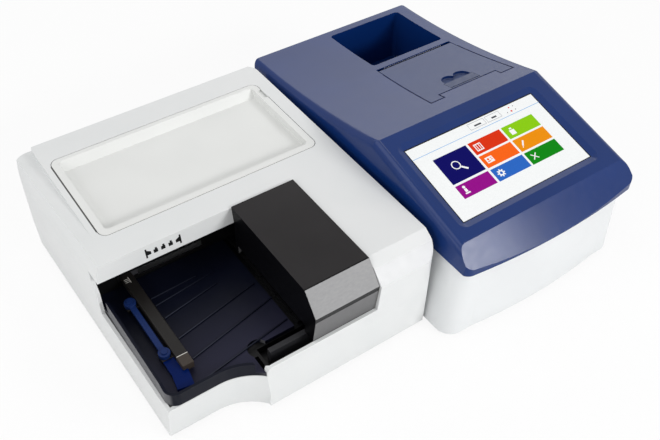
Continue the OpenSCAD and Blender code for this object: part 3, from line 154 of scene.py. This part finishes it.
def moulded(name, light, dark, rough=(0.4, 0.52), grain=1400, bump=0.12, patch=16, specular=0.5):
    """Moulded plastic, paint or rubber: two near tones in broad patches, fine grain in bump and gloss."""
    gloss_to_grain = 0.11
    g = Graph(name)
    g.drive("Base Color", g.patches(patch, dark, light))
    g.drive("Roughness", g.spread(g.noise(grain * gloss_to_grain, 4), rough[0], rough[1]))
    g.drive("Normal", g.bump(g.noise(grain, 2), bump, GRAIN_DEPTH))
    g.drive("Specular IOR Level", specular)
    return g


def brushed(name, light, dark, stretch, rough=(0.25, 0.4)):
    """Metal with fine streaks that run across the axes that are stretched most."""
    g = Graph(name)
    streaks = g.noise(300, 3, stretch)
    g.drive("Base Color", g.mix(g.spread(streaks, 0, 1), dark, light))
    g.drive("Roughness", g.spread(streaks, rough[0], rough[1]))
    g.drive("Normal", g.bump(streaks, 0.15, STREAK_DEPTH))
    g.drive("Metallic", 1.0)
    return g


def reader_black():
    """Near-black plastic; the front faces carry a painted grey reflection, with a band of painted shade
    below the edge.
    """
    bottom, shade_band_low, shade_band_high, step = 62, 87.1, 92.1, 0.2
    top_front, edge = 118.6, 0.4
    g = Graph("reader black")
    cover = g.patches(14, tone(34, 32, 33), tone(40, 38, 39))
    # Painted reflection on the lower front face, lighter towards its top
    lower = g.mix(g.along(UP, bottom, shade_band_low), tone(102, 102, 103), tone(110, 110, 111))
    upper_facet_reflection = g.patches(260, tone(148, 148, 149), tone(155, 155, 156), 3, (1, 2, 2))
    # Painted shade in a dark band at the top of the lower face; above it the upper facet's flecked painted
    # reflection
    front = g.mix(g.along(UP, shade_band_low, shade_band_low + step), lower, tone(44, 44, 45))
    front = g.mix(g.along(UP, shade_band_high, shade_band_high + step), front, upper_facet_reflection)
    g.drive("Base Color", g.mix(g.facing(FRONT, 0.3, 0.42), cover, front))
    # A darker strip along the top's front edge
    top_edge = g.both(g.facing(UP, 0.8, 0.9), g.along(FRONT, top_front, top_front + edge))
    g.tint(top_edge, tone(10, 9, 10))
    # Painted shade on the left faces
    g.tint(g.facing(LEFT, 0.6, 0.8), tone(6, 6, 8))
    g.drive("Roughness", g.spread(g.noise(150, 4), 0.3, 0.4))
    g.drive("Normal", g.bump(g.noise(1500, 2), 0.1, GRAIN_DEPTH))
    g.drive("Specular IOR Level", 0.12)
    return g


# Materials

white = moulded("housing white", tone(228, 229, 229), tone(223, 225, 225), rough=(0.32, 0.42), bump=0.08,
                specular=0.3)
white_base = moulded("base white", tone(228, 230, 231), tone(223, 225, 226), rough=(0.34, 0.44), bump=0.08,
                     specular=0.3)
lid_white = moulded("lid white", tone(230, 231, 229), tone(226, 227, 225), rough=(0.3, 0.4), bump=0.08,
                    specular=0.3)
blue = moulded("cover blue", tone(12, 46, 107), tone(9, 42, 100), rough=(0.17, 0.23), grain=1700, bump=0.1,
               specular=0.27)
door_blue = moulded("door blue", tone(15, 46, 102), tone(12, 42, 96), rough=(0.2, 0.27), grain=1700,
                    bump=0.1, specular=0.26)
latch_grey = moulded("latch grey", tone(66, 76, 108), tone(58, 68, 100), rough=(0.38, 0.48), specular=0.28)
navy = moulded("tray navy", tone(13, 16, 30), tone(9, 12, 25), rough=(0.3, 0.42), grain=1200, bump=0.15,
               specular=0.1)
black = moulded("black", tone(12, 12, 14), tone(8, 8, 9), rough=(0.35, 0.5), specular=0.2)
bar_black = moulded("bar black", tone(31, 29, 28), tone(25, 23, 22), rough=(0.36, 0.48), specular=0.2)
rail_grey = moulded("rail grey", tone(44, 44, 47), tone(36, 36, 39), rough=(0.35, 0.5), specular=0.25)
link_blue = moulded("link blue", tone(26, 45, 94), tone(20, 39, 86), rough=(0.25, 0.35), specular=0.12)
tab_blue = moulded("tab blue", tone(1, 26, 86), tone(1, 23, 78), rough=(0.25, 0.35), specular=0.06)
grey = moulded("light grey", tone(176, 178, 181), tone(168, 170, 174), rough=(0.4, 0.55))
bin_grey = moulded("bin grey", tone(190, 194, 200), tone(183, 188, 195), rough=(0.25, 0.35))
dark = moulded("dark grey", tone(58, 58, 62), tone(50, 50, 54), rough=(0.4, 0.55))
rubber = moulded("rubber", tone(30, 30, 30), tone(22, 22, 22), rough=(0.7, 0.85), grain=900, bump=0.3)
paper = moulded("paper", tone(240, 239, 234), tone(232, 231, 226), rough=(0.75, 0.9), grain=1500, bump=0.2)
board_green = moulded("board green", tone(24, 92, 54), tone(18, 76, 44), rough=(0.25, 0.4), grain=260,
                      patch=140, bump=0.3)
sheet_grey = moulded("sheet grey", tone(178, 180, 183), tone(170, 172, 176), rough=(0.45, 0.6), grain=1000,
                     bump=0.3)
tile_white = moulded("reference white", tone(245, 245, 244), tone(240, 240, 239), rough=(0.15, 0.25))
steel = brushed("steel", tone(196, 197, 200), tone(172, 174, 178), (1, 30, 30))
alloy = brushed("alloy", tone(200, 201, 204), tone(180, 182, 186), (30, 30, 2))
brass = brushed("brass", tone(204, 172, 92), tone(184, 152, 76), (30, 30, 2))
reader = reader_black()
ink_black = moulded("ink black", tone(16, 16, 17), tone(11, 11, 12), rough=(0.4, 0.5), specular=0.2)
# White for the ticks, and for the painted highlight on the pusher bar
print_and_highlight_white = moulded("print and highlight white", tone(214, 212, 206), tone(204, 202, 196), rough=(0.4, 0.5))
# Painted shade in the gap round the tray lid
gap_shade_black = moulded("gap shade black", tone(30, 30, 31), tone(22, 22, 23), rough=(0.6, 0.7), specular=0.2)
# Painted shade in the gap round the printer door
gap_shade_navy = moulded("gap shade navy", tone(8, 18, 60), tone(6, 14, 52), rough=(0.6, 0.7), specular=0.05)


def tint_door():
    """Painted light: the shallow finger scoop of the door is painted lighter than its shaded depth."""
    under_skin, skin_level, back_edge, blend = (0, -0.235, -1), 128.6, 27, 1
    depth = door_blue.along(under_skin, -skin_level, blend - skin_level)
    before_back = door_blue.along(FRONT, -back_edge, blend - back_edge)
    # Painted light over the scoop floor
    door_blue.tint(door_blue.both(depth, before_back), tone(104, 116, 154))


def tint_tray():
    """Painted light: a painted highlight on the rib tops near the bar, a painted grey reflection of the
    housing on the left wall, and the floor painted lighter towards the front.
    """
    floor_top, rib_low, rib_high = 55.4, 55.5, 56.6
    fade_x, bar_x = 132, 188
    shade_y, front_y = 48, 108
    rib_tops = navy.both(navy.along(UP, rib_low, rib_low + 0.3), navy.along(DOWN, -rib_high, 0.4 - rib_high))
    near_bar = navy.along(LEFT, fade_x, bar_x)
    # Painted highlight on the rib tops near the bar
    navy.tint(navy.both(rib_tops, near_bar, navy.facing(UP, 0.8, 0.9)), tone(50, 54, 66))
    # Painted reflection on the left wall
    navy.tint(navy.facing(LEFT, 0.6, 0.8), tone(92, 92, 96))
    # Painted light: the floor lighter towards the front
    floor_front = navy.both(navy.along(FRONT, shade_y, front_y), navy.facing(UP, 0.8, 0.9))
    navy.tint(navy.both(floor_front, navy.along(DOWN, -floor_top, 0.2 - floor_top)), tone(37, 37, 54))


def tint_bar():
    """The front end of the pusher bar is warmer."""
    end_line = 87
    bar_black.tint(bar_black.along(FRONT, end_line, end_line + 0.3), tone(58, 51, 46))


def tint_housing():
    """Painted shade: the feeder's front band, which faces the lamps, is painted darker, and so is the gap
    wall beside the lid on the left.
    """
    band_way, band_y = (0, -0.9, 0.43), 50
    housing_shade_left, housing_shade_right, housing_shade_front, housing_shade_back, housing_shade_low = 210.9, 209.8, 28, 127, 108
    front_band = white.both(white.facing(band_way, 0.91, 0.945), white.along(FRONT, band_y, band_y + 1))
    # Painted shade on the front band
    white.tint(front_band, tone(213, 214, 215))
    across = white.both(white.along(RIGHT, -housing_shade_left, 0.1 - housing_shade_left),
                        white.along(LEFT, housing_shade_right, housing_shade_right + 0.1))
    lengthwise = white.both(white.along(BACK, housing_shade_front, housing_shade_front + 2),
                            white.along(FRONT, -housing_shade_back, 2 - housing_shade_back))
    # Painted shade in the gap beside the lid
    white.tint(white.both(across, lengthwise, white.along(UP, housing_shade_low, housing_shade_low + 0.2)), tone(96, 96, 95))


tint_door()
tint_tray()
tint_bar()
tint_housing()

finishes = {
    "console_base": white_base, "console_cover": blue, "screen_glass": black, "screen_module": grey,
    "printer_door": door_blue, "door_latch": latch_grey, "door_hinge_pins": steel, "paper_bay": dark,
    "paper_roll": paper, "print_head": alloy, "platen_roller": rubber, "printer_drive": black,
    "tear_bar": steel, "main_board": board_green, "board_spacers": brass, "power_supply": sheet_grey,
    "rear_panel": sheet_grey, "power_inlet": black, "power_switch": black, "switch_frame": black,
    "data_ports": steel, "network_port": steel, "console_feet": rubber, "console_screws": steel,
    "feeder_housing": white, "feeder_base": grey, "tray_lid": lid_white, "waste_bin": bin_grey,
    "bay_liner": black, "strip_tray": navy, "feed_rails": rail_grey, "reader_cover": reader,
    "read_stage": black, "reference_plate": tile_white,
    "optical_head": black, "head_rods": steel, "head_carrier": alloy, "pusher_bar": bar_black,
    "pusher_carriage": dark, "pusher_link": link_blue, "link_pins": link_blue, "pusher_tab": tab_blue,
    "guide_rods": steel, "drive_frame": sheet_grey, "drive_belt": rubber, "drive_pulley": alloy,
    "idler_pulley": alloy, "idler_pin": steel, "feed_motor": black, "feeder_board": board_green,
    "feeder_feet": rubber, "feeder_screws": steel, "link_plates": steel,
}
for name, mat in finishes.items():
    nodes[name].data.materials.clear()
    nodes[name].data.materials.append(mat.mat)


def soften(name, width, flatten=True):
    """Rounds the edges of a CAD piece with modifiers; width is in millimetres."""
    piece = nodes[name]
    weld = piece.modifiers.new("weld", "WELD")
    weld.merge_threshold = 0.02 * MM
    if flatten:
        flat = piece.modifiers.new("flat", "DECIMATE")
        flat.decimate_type = "DISSOLVE"
        flat.angle_limit = math.radians(0.6)
    bevel = piece.modifiers.new("bevel", "BEVEL")
    bevel.width = width * MM
    bevel.segments = 2
    bevel.limit_method = "ANGLE"
    bevel.angle_limit = math.radians(32)
    bevel.use_clamp_overlap = True
    bevel.miter_outer = "MITER_ARC"
    normals = piece.modifiers.new("normals", "WEIGHTED_NORMAL")
    normals.keep_sharp = True


roundings = {
    "console_cover": 1.0, "console_base": 1.0, "printer_door": 0.35, "door_latch": 0.35,
    "feeder_housing": 1.0, "tray_lid": 1.2, "reader_cover": 0.8, "pusher_bar": 0.6, "pusher_link": 0.5,
    "pusher_tab": 0.5, "feed_rails": 0.4, "rear_panel": 0.2, "power_inlet": 0.4, "switch_frame": 0.5,
    "power_switch": 0.4, "waste_bin": 0.5,
}
for name, width in roundings.items():
    soften(name, width)
soften("strip_tray", 0.5, flatten=False)


# Flat outlines

def rectangle(u0, v0, u1, v1):
    return [(u0, v0), (u1, v0), (u1, v1), (u0, v1)]


def disc(u, v, r, count=20):
    return [(u + r * math.cos(2 * math.pi * i / count), v + r * math.sin(2 * math.pi * i / count))
            for i in range(count)]


def ring(u, v, r, width, count=20):
    outer, inner = disc(u, v, r, count), disc(u, v, r - width, count)
    return [[outer[i], outer[(i + 1) % count], inner[(i + 1) % count], inner[i]] for i in range(count)]


def stroke(a, b, width):
    d = Vector((b[0] - a[0], b[1] - a[1])).normalized() * width / 2
    return [(a[0] - d.y, a[1] + d.x), (b[0] - d.y, b[1] + d.x),
            (b[0] + d.y, b[1] - d.x), (a[0] + d.y, a[1] - d.x)]


def new_piece(name, verts, faces, mats, picks=None):
    """A mesh piece; picks gives the material of each face."""
    mesh = bpy.data.meshes.new(name)
    mesh.from_pydata(verts, [], faces)
    for mat in mats:
        mesh.materials.append(mat)
    if picks:
        for face, pick in zip(mesh.polygons, picks):
            face.material_index = pick
    piece = bpy.data.objects.new(name, mesh)
    bpy.context.scene.collection.objects.link(piece)
    return piece


# The picture on the touch screen: flat fields just over the glass

TILT = math.radians(13.2)
FACE = Matrix.Translation(Vector((127.5, -32, 139)) * MM) @ Matrix.Rotation(TILT, 4, "X")
PICTURE_W, PICTURE_H = 154.08, 85.92
PICTURE_X, PICTURE_Y = -3.4, -61.5
GLASS_Z, LAYER = -2.2, 0.04
GLOW = 0.5

picture_colors = {
    "ground": tone(248, 250, 250), "navy": tone(10, 8, 98), "purple": tone(150, 12, 138),
    "red": tone(222, 52, 18), "orange": tone(252, 102, 22), "azure": tone(44, 104, 196),
    "lime": tone(140, 206, 18), "amber": tone(240, 146, 12), "green": tone(12, 136, 18),
    "line": tone(110, 176, 232), "white": tone(250, 250, 250), "ink": tone(70, 72, 80),
    "dot": tone(226, 40, 40), "edge": tone(60, 66, 84),
}
shapes = []


def draw(key, layer, *outlines):
    """Adds outlines in one colour; u goes right and v down from the top left corner, in millimetres."""
    shapes.extend((key, layer, outline) for outline in outlines)


def screen_point(u, v, layer):
    x, y = PICTURE_X - PICTURE_W / 2 + u, PICTURE_Y + PICTURE_H / 2 - v
    return FACE @ (Vector((x, y, GLASS_Z + LAYER * (1 + layer))) * MM)


def field(name, color, glow):
    """A lit field: part of its colour shines and the rest is reflected."""
    unlit = 0.94
    g = Graph(name)
    dots = g.spread(g.noise(900, 2), 0, 1)
    matt = dimmed(color, 1 - glow)
    g.drive("Base Color", g.mix(dots, dimmed(matt, unlit), matt))
    g.drive("Emission Color", g.mix(dots, dimmed(color, unlit), color))
    g.drive("Emission Strength", glow)
    g.drive("Specular IOR Level", 0.04)
    g.drive("Roughness", g.spread(g.noise(40, 3), 0.1, 0.16))
    return g.mat


draw("ground", 0, rectangle(0.9, 1.3, 152.8, 85.2))
draw("line", 1, rectangle(1, 12.4, 153, 12.9))
# Eight tiles: a large and a small one in the left column, three in each of the others
draw("navy", 1, rectangle(17, 20.7, 54.9, 50.7))
draw("purple", 1, rectangle(17, 52.9, 54.9, 67.2))
draw("red", 1, rectangle(57.3, 20.6, 95.5, 34.9))
draw("orange", 1, rectangle(57.3, 36.9, 95.5, 51.1))
draw("azure", 1, rectangle(57.3, 53.3, 95.5, 67.4))
draw("lime", 1, rectangle(97.8, 20.6, 136.3, 35))
draw("amber", 1, rectangle(97.8, 37, 136.3, 51.4))
draw("green", 1, rectangle(97.8, 53.5, 136.3, 67.6))
# A lens on a handle
draw("white", 2, *ring(33, 34.5, 4.6, 1.0))
draw("white", 2, stroke((36.4, 37.9), (41.2, 42.4), 1.9))
# A tray of strips
draw("white", 2, rectangle(61, 24, 69, 25), rectangle(61, 31, 69, 32), rectangle(61, 25, 62, 31))
draw("white", 2, rectangle(68, 25, 69, 31), rectangle(63.2, 25, 64, 31), rectangle(65.9, 25, 66.7, 31))
# A card
draw("white", 2, rectangle(61, 40.6, 69, 47))
draw("orange", 3, disc(63.6, 43, 1.2, 12), rectangle(62, 44.8, 65.2, 45.8))
draw("orange", 3, rectangle(66, 42, 68.2, 42.7), rectangle(66, 43.8, 68.2, 44.5))
# A cog
cog_u, cog_v, root, tip, teeth = 64.8, 60.4, 2.7, 4.1, 8
draw("white", 2, *ring(cog_u, cog_v, 2.9, 1.4))
for tooth in range(teeth):
    turn = 2 * math.pi * tooth / teeth
    foot = (cog_u + root * math.cos(turn), cog_v + root * math.sin(turn))
    end = (cog_u + tip * math.cos(turn), cog_v + tip * math.sin(turn))
    draw("white", 2, stroke(foot, end, 1.3))
# A bottle, a pen, crossed tools and a figure
draw("white", 2, rectangle(103, 26.4, 108.6, 32), rectangle(104.4, 24, 107.2, 25.6))
draw("white", 2, stroke((107.4, 41), (103.6, 46.2), 1.6), stroke((103.3, 46.6), (102.4, 48), 0.8))
draw("white", 2, stroke((102.6, 57.4), (108.6, 63.4), 1.0), stroke((108.6, 57.4), (102.6, 63.4), 1.0))
draw("white", 2, disc(24, 56.6, 1.5, 14), rectangle(22.6, 58.4, 25.4, 62), rectangle(21.4, 62.4, 26.6, 63.8))
# Two framed counters and status dots in the header
frame_top, frame_end, frame_line = 3, 9.85, 0.25
for u0, u1 in ((71, 90), (92, 109)):
    inside = frame_top + frame_line, frame_end - frame_line
    draw("edge", 1, rectangle(u0, frame_top, u1, inside[0]), rectangle(u0, inside[1], u1, frame_end))
    draw("edge", 1, rectangle(u0, inside[0], u0 + frame_line, inside[1]))
    draw("edge", 1, rectangle(u1 - frame_line, inside[0], u1, inside[1]))
    draw("ink", 1, rectangle(u0 + 6, 6.2, u1 - 5, 7.9))
draw("dot", 1, disc(121.5, 9, 1.0, 14), disc(121.5, 4.6, 0.8, 12))
draw("ink", 1, disc(116.5, 9, 0.5, 10), disc(126.5, 9, 0.6, 10), disc(126.5, 4.6, 0.5, 10))


def screen_picture():
    """One piece of all the fields, with one material for each colour."""
    slots = {key: i for i, key in enumerate(picture_colors)}
    verts, faces, picks = [], [], []
    for key, layer, outline in shapes:
        start = len(verts)
        verts += [screen_point(u, v, layer) for u, v in outline]
        faces.append(list(range(start, start + len(outline))))
        picks.append(slots[key])
    mats = [field("picture " + key, color, GLOW) for key, color in picture_colors.items()]
    return new_piece("screen_picture", verts, faces, mats, picks)


def face_out(piece, direction):
    """Turns every face of a flat piece to one side."""
    bm = bmesh.new()
    bm.from_mesh(piece.data)
    for face in bm.faces:
        if face.normal.dot(direction) < 0:
            face.normal_flip()
    bm.to_mesh(piece.data)
    bm.free()


picture = screen_picture()
face_out(picture, FACE.to_3x3() @ Vector(UP))
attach(picture, "housing")


# Small marks, a painted highlight and strips of painted shade: thin plates level with their surface or a
# little proud of it

def plates(name, mat, outlines, place, thick=0.06):
    """Flat plates with a front and edges; place turns (a, b, height) into a point of the part."""
    verts, faces = [], []
    for outline in outlines:
        n, start = len(outline), len(verts)
        verts += [place(a, b, thick) for a, b in outline] + [place(a, b, 0) for a, b in outline]
        faces.append([start + i for i in range(n)])
        faces += [[start + i, start + n + i, start + n + (i + 1) % n, start + (i + 1) % n] for i in range(n)]
    piece = new_piece(name, verts, faces, [mat.mat])
    bm = bmesh.new()
    bm.from_mesh(piece.data)
    bmesh.ops.recalc_face_normals(bm, faces=bm.faces)
    bm.to_mesh(piece.data)
    bm.free()
    return piece


def on_fascia(x, z, out):
    """A point on the white strip above the bay, which leans back; x and z in millimetres."""
    foot_y, foot_z, lean = -10.2, 95.3, 0.2
    y = foot_y + (z - foot_z) * lean
    return Vector((x, y - out * 0.98, z + out * lean)) * MM


def on_bar(x, y, out):
    bar_top = 64.8
    return Vector((x, y, bar_top + out)) * MM


def on_platform(x, y, out):
    gap_shade_bottom = 109.6
    return Vector((x, y, gap_shade_bottom + out)) * MM


# A row of marks over the bay: three blocks between two arrows that point outwards
blocks = (-176.6, -169.8, -163.0)
marks = [rectangle(x - 1.9, 100.6, x + 1.9, 103.8) for x in blocks]
marks += [rectangle(x - 0.4, 103.8, x + 1.4, 105.4) for x in blocks]
for tip, side in ((-185.8, 1), (-153.2, -1)):
    marks.append([(tip, 98.6), (tip + side * 1.5, 98.6), (tip + side * 1.5, 107.2), (tip, 107.2)])
    marks.append([(tip + side * 1.2, 101), (tip + side * 5, 101), (tip + side * 5, 103.6),
                  (tip + side * 1.2, 105.6)])
fascia_marks = plates("fascia_marks", ink_black, marks, on_fascia)
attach(fascia_marks, "housing")

# A painted highlight: a white line across the top of the pusher bar at its front end
bar_edge_highlight = plates("bar_edge_highlight", print_and_highlight_white, [rectangle(-203.4, -87.6, -193.8, -87.0)], on_bar)
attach(bar_edge_highlight, "pusher")

# Fine ticks on the bar where it enters the housing
ticks = [rectangle(-203.0, y, -198.6, y + 0.5) for y in (4.6, 6.4, 8.2)]
ticks.append(rectangle(-198.9, 3.2, -198.3, 10.4))
bar_ticks = plates("bar_ticks", print_and_highlight_white, ticks, on_bar)
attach(bar_ticks, "pusher")


# Painted shade: a dark strip in the gap round the tray lid, left out at the finger notch

def corner_loop(x0, y0, x1, y1, r, steps=6):
    """A rectangle with round corners, from its front right corner anticlockwise."""
    points = []
    centres = ((x1 - r, y0 + r), (x1 - r, y1 - r), (x0 + r, y1 - r), (x0 + r, y0 + r))
    for quarter, (cx, cy) in enumerate(centres):
        for i in range(steps + 1):
            a = math.radians(90 * (quarter - 1) + 90 * i / steps)
            points.append((cx + r * math.cos(a), cy + r * math.sin(a)))
    return points


gap_shade_x0, gap_shade_y0, gap_shade_x1, gap_shade_y1, gap_shade_w = -209.98, 20.72, 5.48, 133.98, 0.56
notch_y0, notch_y1 = 107.6, 122.4
corner_steps = 6
outer = corner_loop(gap_shade_x0, gap_shade_y0, gap_shade_x1, gap_shade_y1, 8, corner_steps)
inner = corner_loop(gap_shade_x0 + gap_shade_w, gap_shade_y0 + gap_shade_w, gap_shade_x1 - gap_shade_w, gap_shade_y1 - gap_shade_w, 7.42,
                    corner_steps)
notch_at = corner_steps + 1
outer[notch_at:notch_at] = [(gap_shade_x1, notch_y0), (gap_shade_x1, notch_y1)]
inner[notch_at:notch_at] = [(gap_shade_x1 - gap_shade_w, notch_y0), (gap_shade_x1 - gap_shade_w, notch_y1)]
lid_shade_faces = [[outer[i], outer[(i + 1) % len(outer)], inner[(i + 1) % len(inner)], inner[i]]
        for i in range(len(outer)) if i != notch_at]
lid_gap_shade = plates("lid_gap_shade", gap_shade_black, lid_shade_faces, on_platform, thick=0.3)
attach(lid_gap_shade, "housing")


# Painted shade: a dark strip over the gap round the printer door, on the cover's side

def skin_of(name):
    piece = nodes[name]
    corners = [piece.matrix_world @ v.co for v in piece.data.vertices]
    return BVHTree.FromPolygons(corners, [list(p.vertices) for p in piece.data.polygons])


cover_skins = [skin_of("console_cover"), skin_of("printer_door")]
door_cx, door_cy = 163, 32.5
door_half, door_flare, door_tab = 47, 4.5, 15
hinge_y, shade_start_y, front_y, tab_y = 75, 66, -2, -10


def skin_height(x, y):
    """Height of the blue skin in millimetres, on the door or on the cover beside it."""
    over_all = Vector((x, y, 300)) * MM
    hits = [skin.ray_cast(over_all, Vector(DOWN))[0] for skin in cover_skins]
    return max(hit.z for hit in hits if hit) / MM


def on_cover(x, y, out):
    """A point over the gap round the door, level with the skin on both of its sides."""
    reach = 3.2
    across = Vector((x - door_cx, y - door_cy)).normalized() * reach
    level = (skin_height(x + across.x, y + across.y) + skin_height(x - across.x, y - across.y)) / 2
    return Vector((x, y, level + out)) * MM


def door_edge(grow, parts=8):
    """The door's outline, grown by some millimetres, and clear of where the hinge end swings."""
    tab_side = door_half + door_flare - door_tab - grow
    side = []
    for i in range(parts + 1):
        y = shade_start_y + (tab_y - grow - shade_start_y) * i / parts
        side.append((door_half + door_flare * (hinge_y - y) / (hinge_y - tab_y) + grow, y))
    side += [(tab_side, tab_y - grow), (tab_side, front_y - grow)]
    return [(door_cx - x, y) for x, y in side] + [(door_cx + x, y) for x, y in reversed(side)]


near, far = door_edge(0.2), door_edge(1.3)
door_shade_faces = [[near[i], near[i + 1], far[i + 1], far[i]] for i in range(len(near) - 1)]
door_gap_shade = plates("door_gap_shade", gap_shade_navy, door_shade_faces, on_cover)
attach(door_gap_shade, "housing")


# Camera, from the four corners of the screen picture in the photograph

YAW, PITCH, ROLL = math.radians(36.0456), math.radians(45.0116), math.radians(1.6312)
EYE = Vector((-346.77, -484.36, 628.18)) * MM
LENS, SENSOR = 47.466, 36


def place_camera():
    forward = Vector((math.sin(YAW) * math.cos(PITCH), math.cos(YAW) * math.cos(PITCH), -math.sin(PITCH)))
    level = Vector((math.cos(YAW), -math.sin(YAW), 0))
    upright = level.cross(forward)
    right = math.cos(ROLL) * level + math.sin(ROLL) * upright
    up = -math.sin(ROLL) * level + math.cos(ROLL) * upright
    data = bpy.data.cameras.new("camera")
    data.lens = LENS
    data.sensor_width = SENSOR
    data.clip_start = 0.01
    camera = bpy.data.objects.new("camera", data)
    turn = Matrix((right, up, -forward)).transposed().to_4x4()
    camera.matrix_world = Matrix.Translation(EYE) @ turn
    bpy.context.scene.collection.objects.link(camera)
    bpy.context.scene.camera = camera


place_camera()


# Light

def area(name, place, aim, size, power):
    """A rectangular lamp at a place, turned to an aim, in metres and watts."""
    data = bpy.data.lights.new(name, "AREA")
    data.shape = "RECTANGLE"
    data.size, data.size_y = size
    data.energy = power
    lamp = bpy.data.objects.new(name, data)
    lamp.location = place
    lamp.rotation_euler = (Vector(aim) - Vector(place)).to_track_quat("-Z", "Y").to_euler()
    bpy.context.scene.collection.objects.link(lamp)


area("top", (-0.5, 0.4, 1.6), (0, 0, 0.05), (1.2, 1.0), 6)
area("left", (-1.4, -0.3, 0.7), (0, 0, 0.05), (1.2, 1.0), 7)
area("front", (0.1, -1.6, 0.6), (0, 0, 0.1), (1.3, 0.9), 2.5)
area("chin", (0.75, -1.57, 0.95), (0.13, -0.16, 0.1), (0.76, 0.36), 15.5)
area("back", (0.95, 1.3, 0.85), (0, 0, 0.1), (1.2, 0.9), 4)


def studio(soft_level, seen_level):
    """A soft light on the object, while the camera, reflections and clear parts see plain white."""
    world = bpy.data.worlds.new("studio")
    world.use_nodes = True
    bpy.context.scene.world = world
    tree = world.node_tree
    tree.nodes.clear()
    rays = tree.nodes.new("ShaderNodeLightPath")
    seen = rays.outputs["Is Camera Ray"]
    for kind in ("Is Glossy Ray", "Is Transmission Ray"):
        either = tree.nodes.new("ShaderNodeMath")
        either.operation = "MAXIMUM"
        tree.links.new(seen, either.inputs[0])
        tree.links.new(rays.outputs[kind], either.inputs[1])
        seen = either.outputs[0]
    chosen = tree.nodes.new("ShaderNodeMixShader")
    tree.links.new(seen, chosen.inputs[0])
    for place, level in ((1, soft_level), (2, seen_level)):
        sky = tree.nodes.new("ShaderNodeBackground")
        sky.inputs["Color"].default_value = (1, 1, 1, 1)
        sky.inputs["Strength"].default_value = level
        tree.links.new(sky.outputs[0], chosen.inputs[place])
    out = tree.nodes.new("ShaderNodeOutputWorld")
    tree.links.new(chosen.outputs[0], out.inputs["Surface"])


studio(0.42, 1.0)


# Floor: white paper that keeps the shadow

def white_floor(half, shine_share):
    """A square floor that the camera sees as near white, with the object's shadow on it."""
    g = Graph("floor")
    g.drive("Roughness", 0.9)
    g.drive("Specular IOR Level", 0.1)
    g.drive("Base Color", g.patches(6, tone(244, 244, 244), tone(247, 247, 247)))
    shine = g.add("ShaderNodeEmission")
    shine.inputs["Strength"].default_value = 1.0
    seen = g.add("ShaderNodeMath", operation="MULTIPLY")
    g.link(g.add("ShaderNodeLightPath").outputs["Is Camera Ray"], seen.inputs[0])
    seen.inputs[1].default_value = shine_share
    chosen = g.add("ShaderNodeMixShader")
    g.link(seen.outputs[0], chosen.inputs[0])
    g.link(g.shader.outputs[0], chosen.inputs[1])
    g.link(shine.outputs[0], chosen.inputs[2])
    g.link(chosen.outputs[0], g.tree.nodes["Material Output"].inputs["Surface"])
    corners = [(-half, -half, 0), (half, -half, 0), (half, half, 0), (-half, half, 0)]
    return new_piece("floor", corners, [(0, 1, 2, 3)], [g.mat])


floor = white_floor(6, 0.88)

bpy.context.scene.view_settings.view_transform = "Standard"
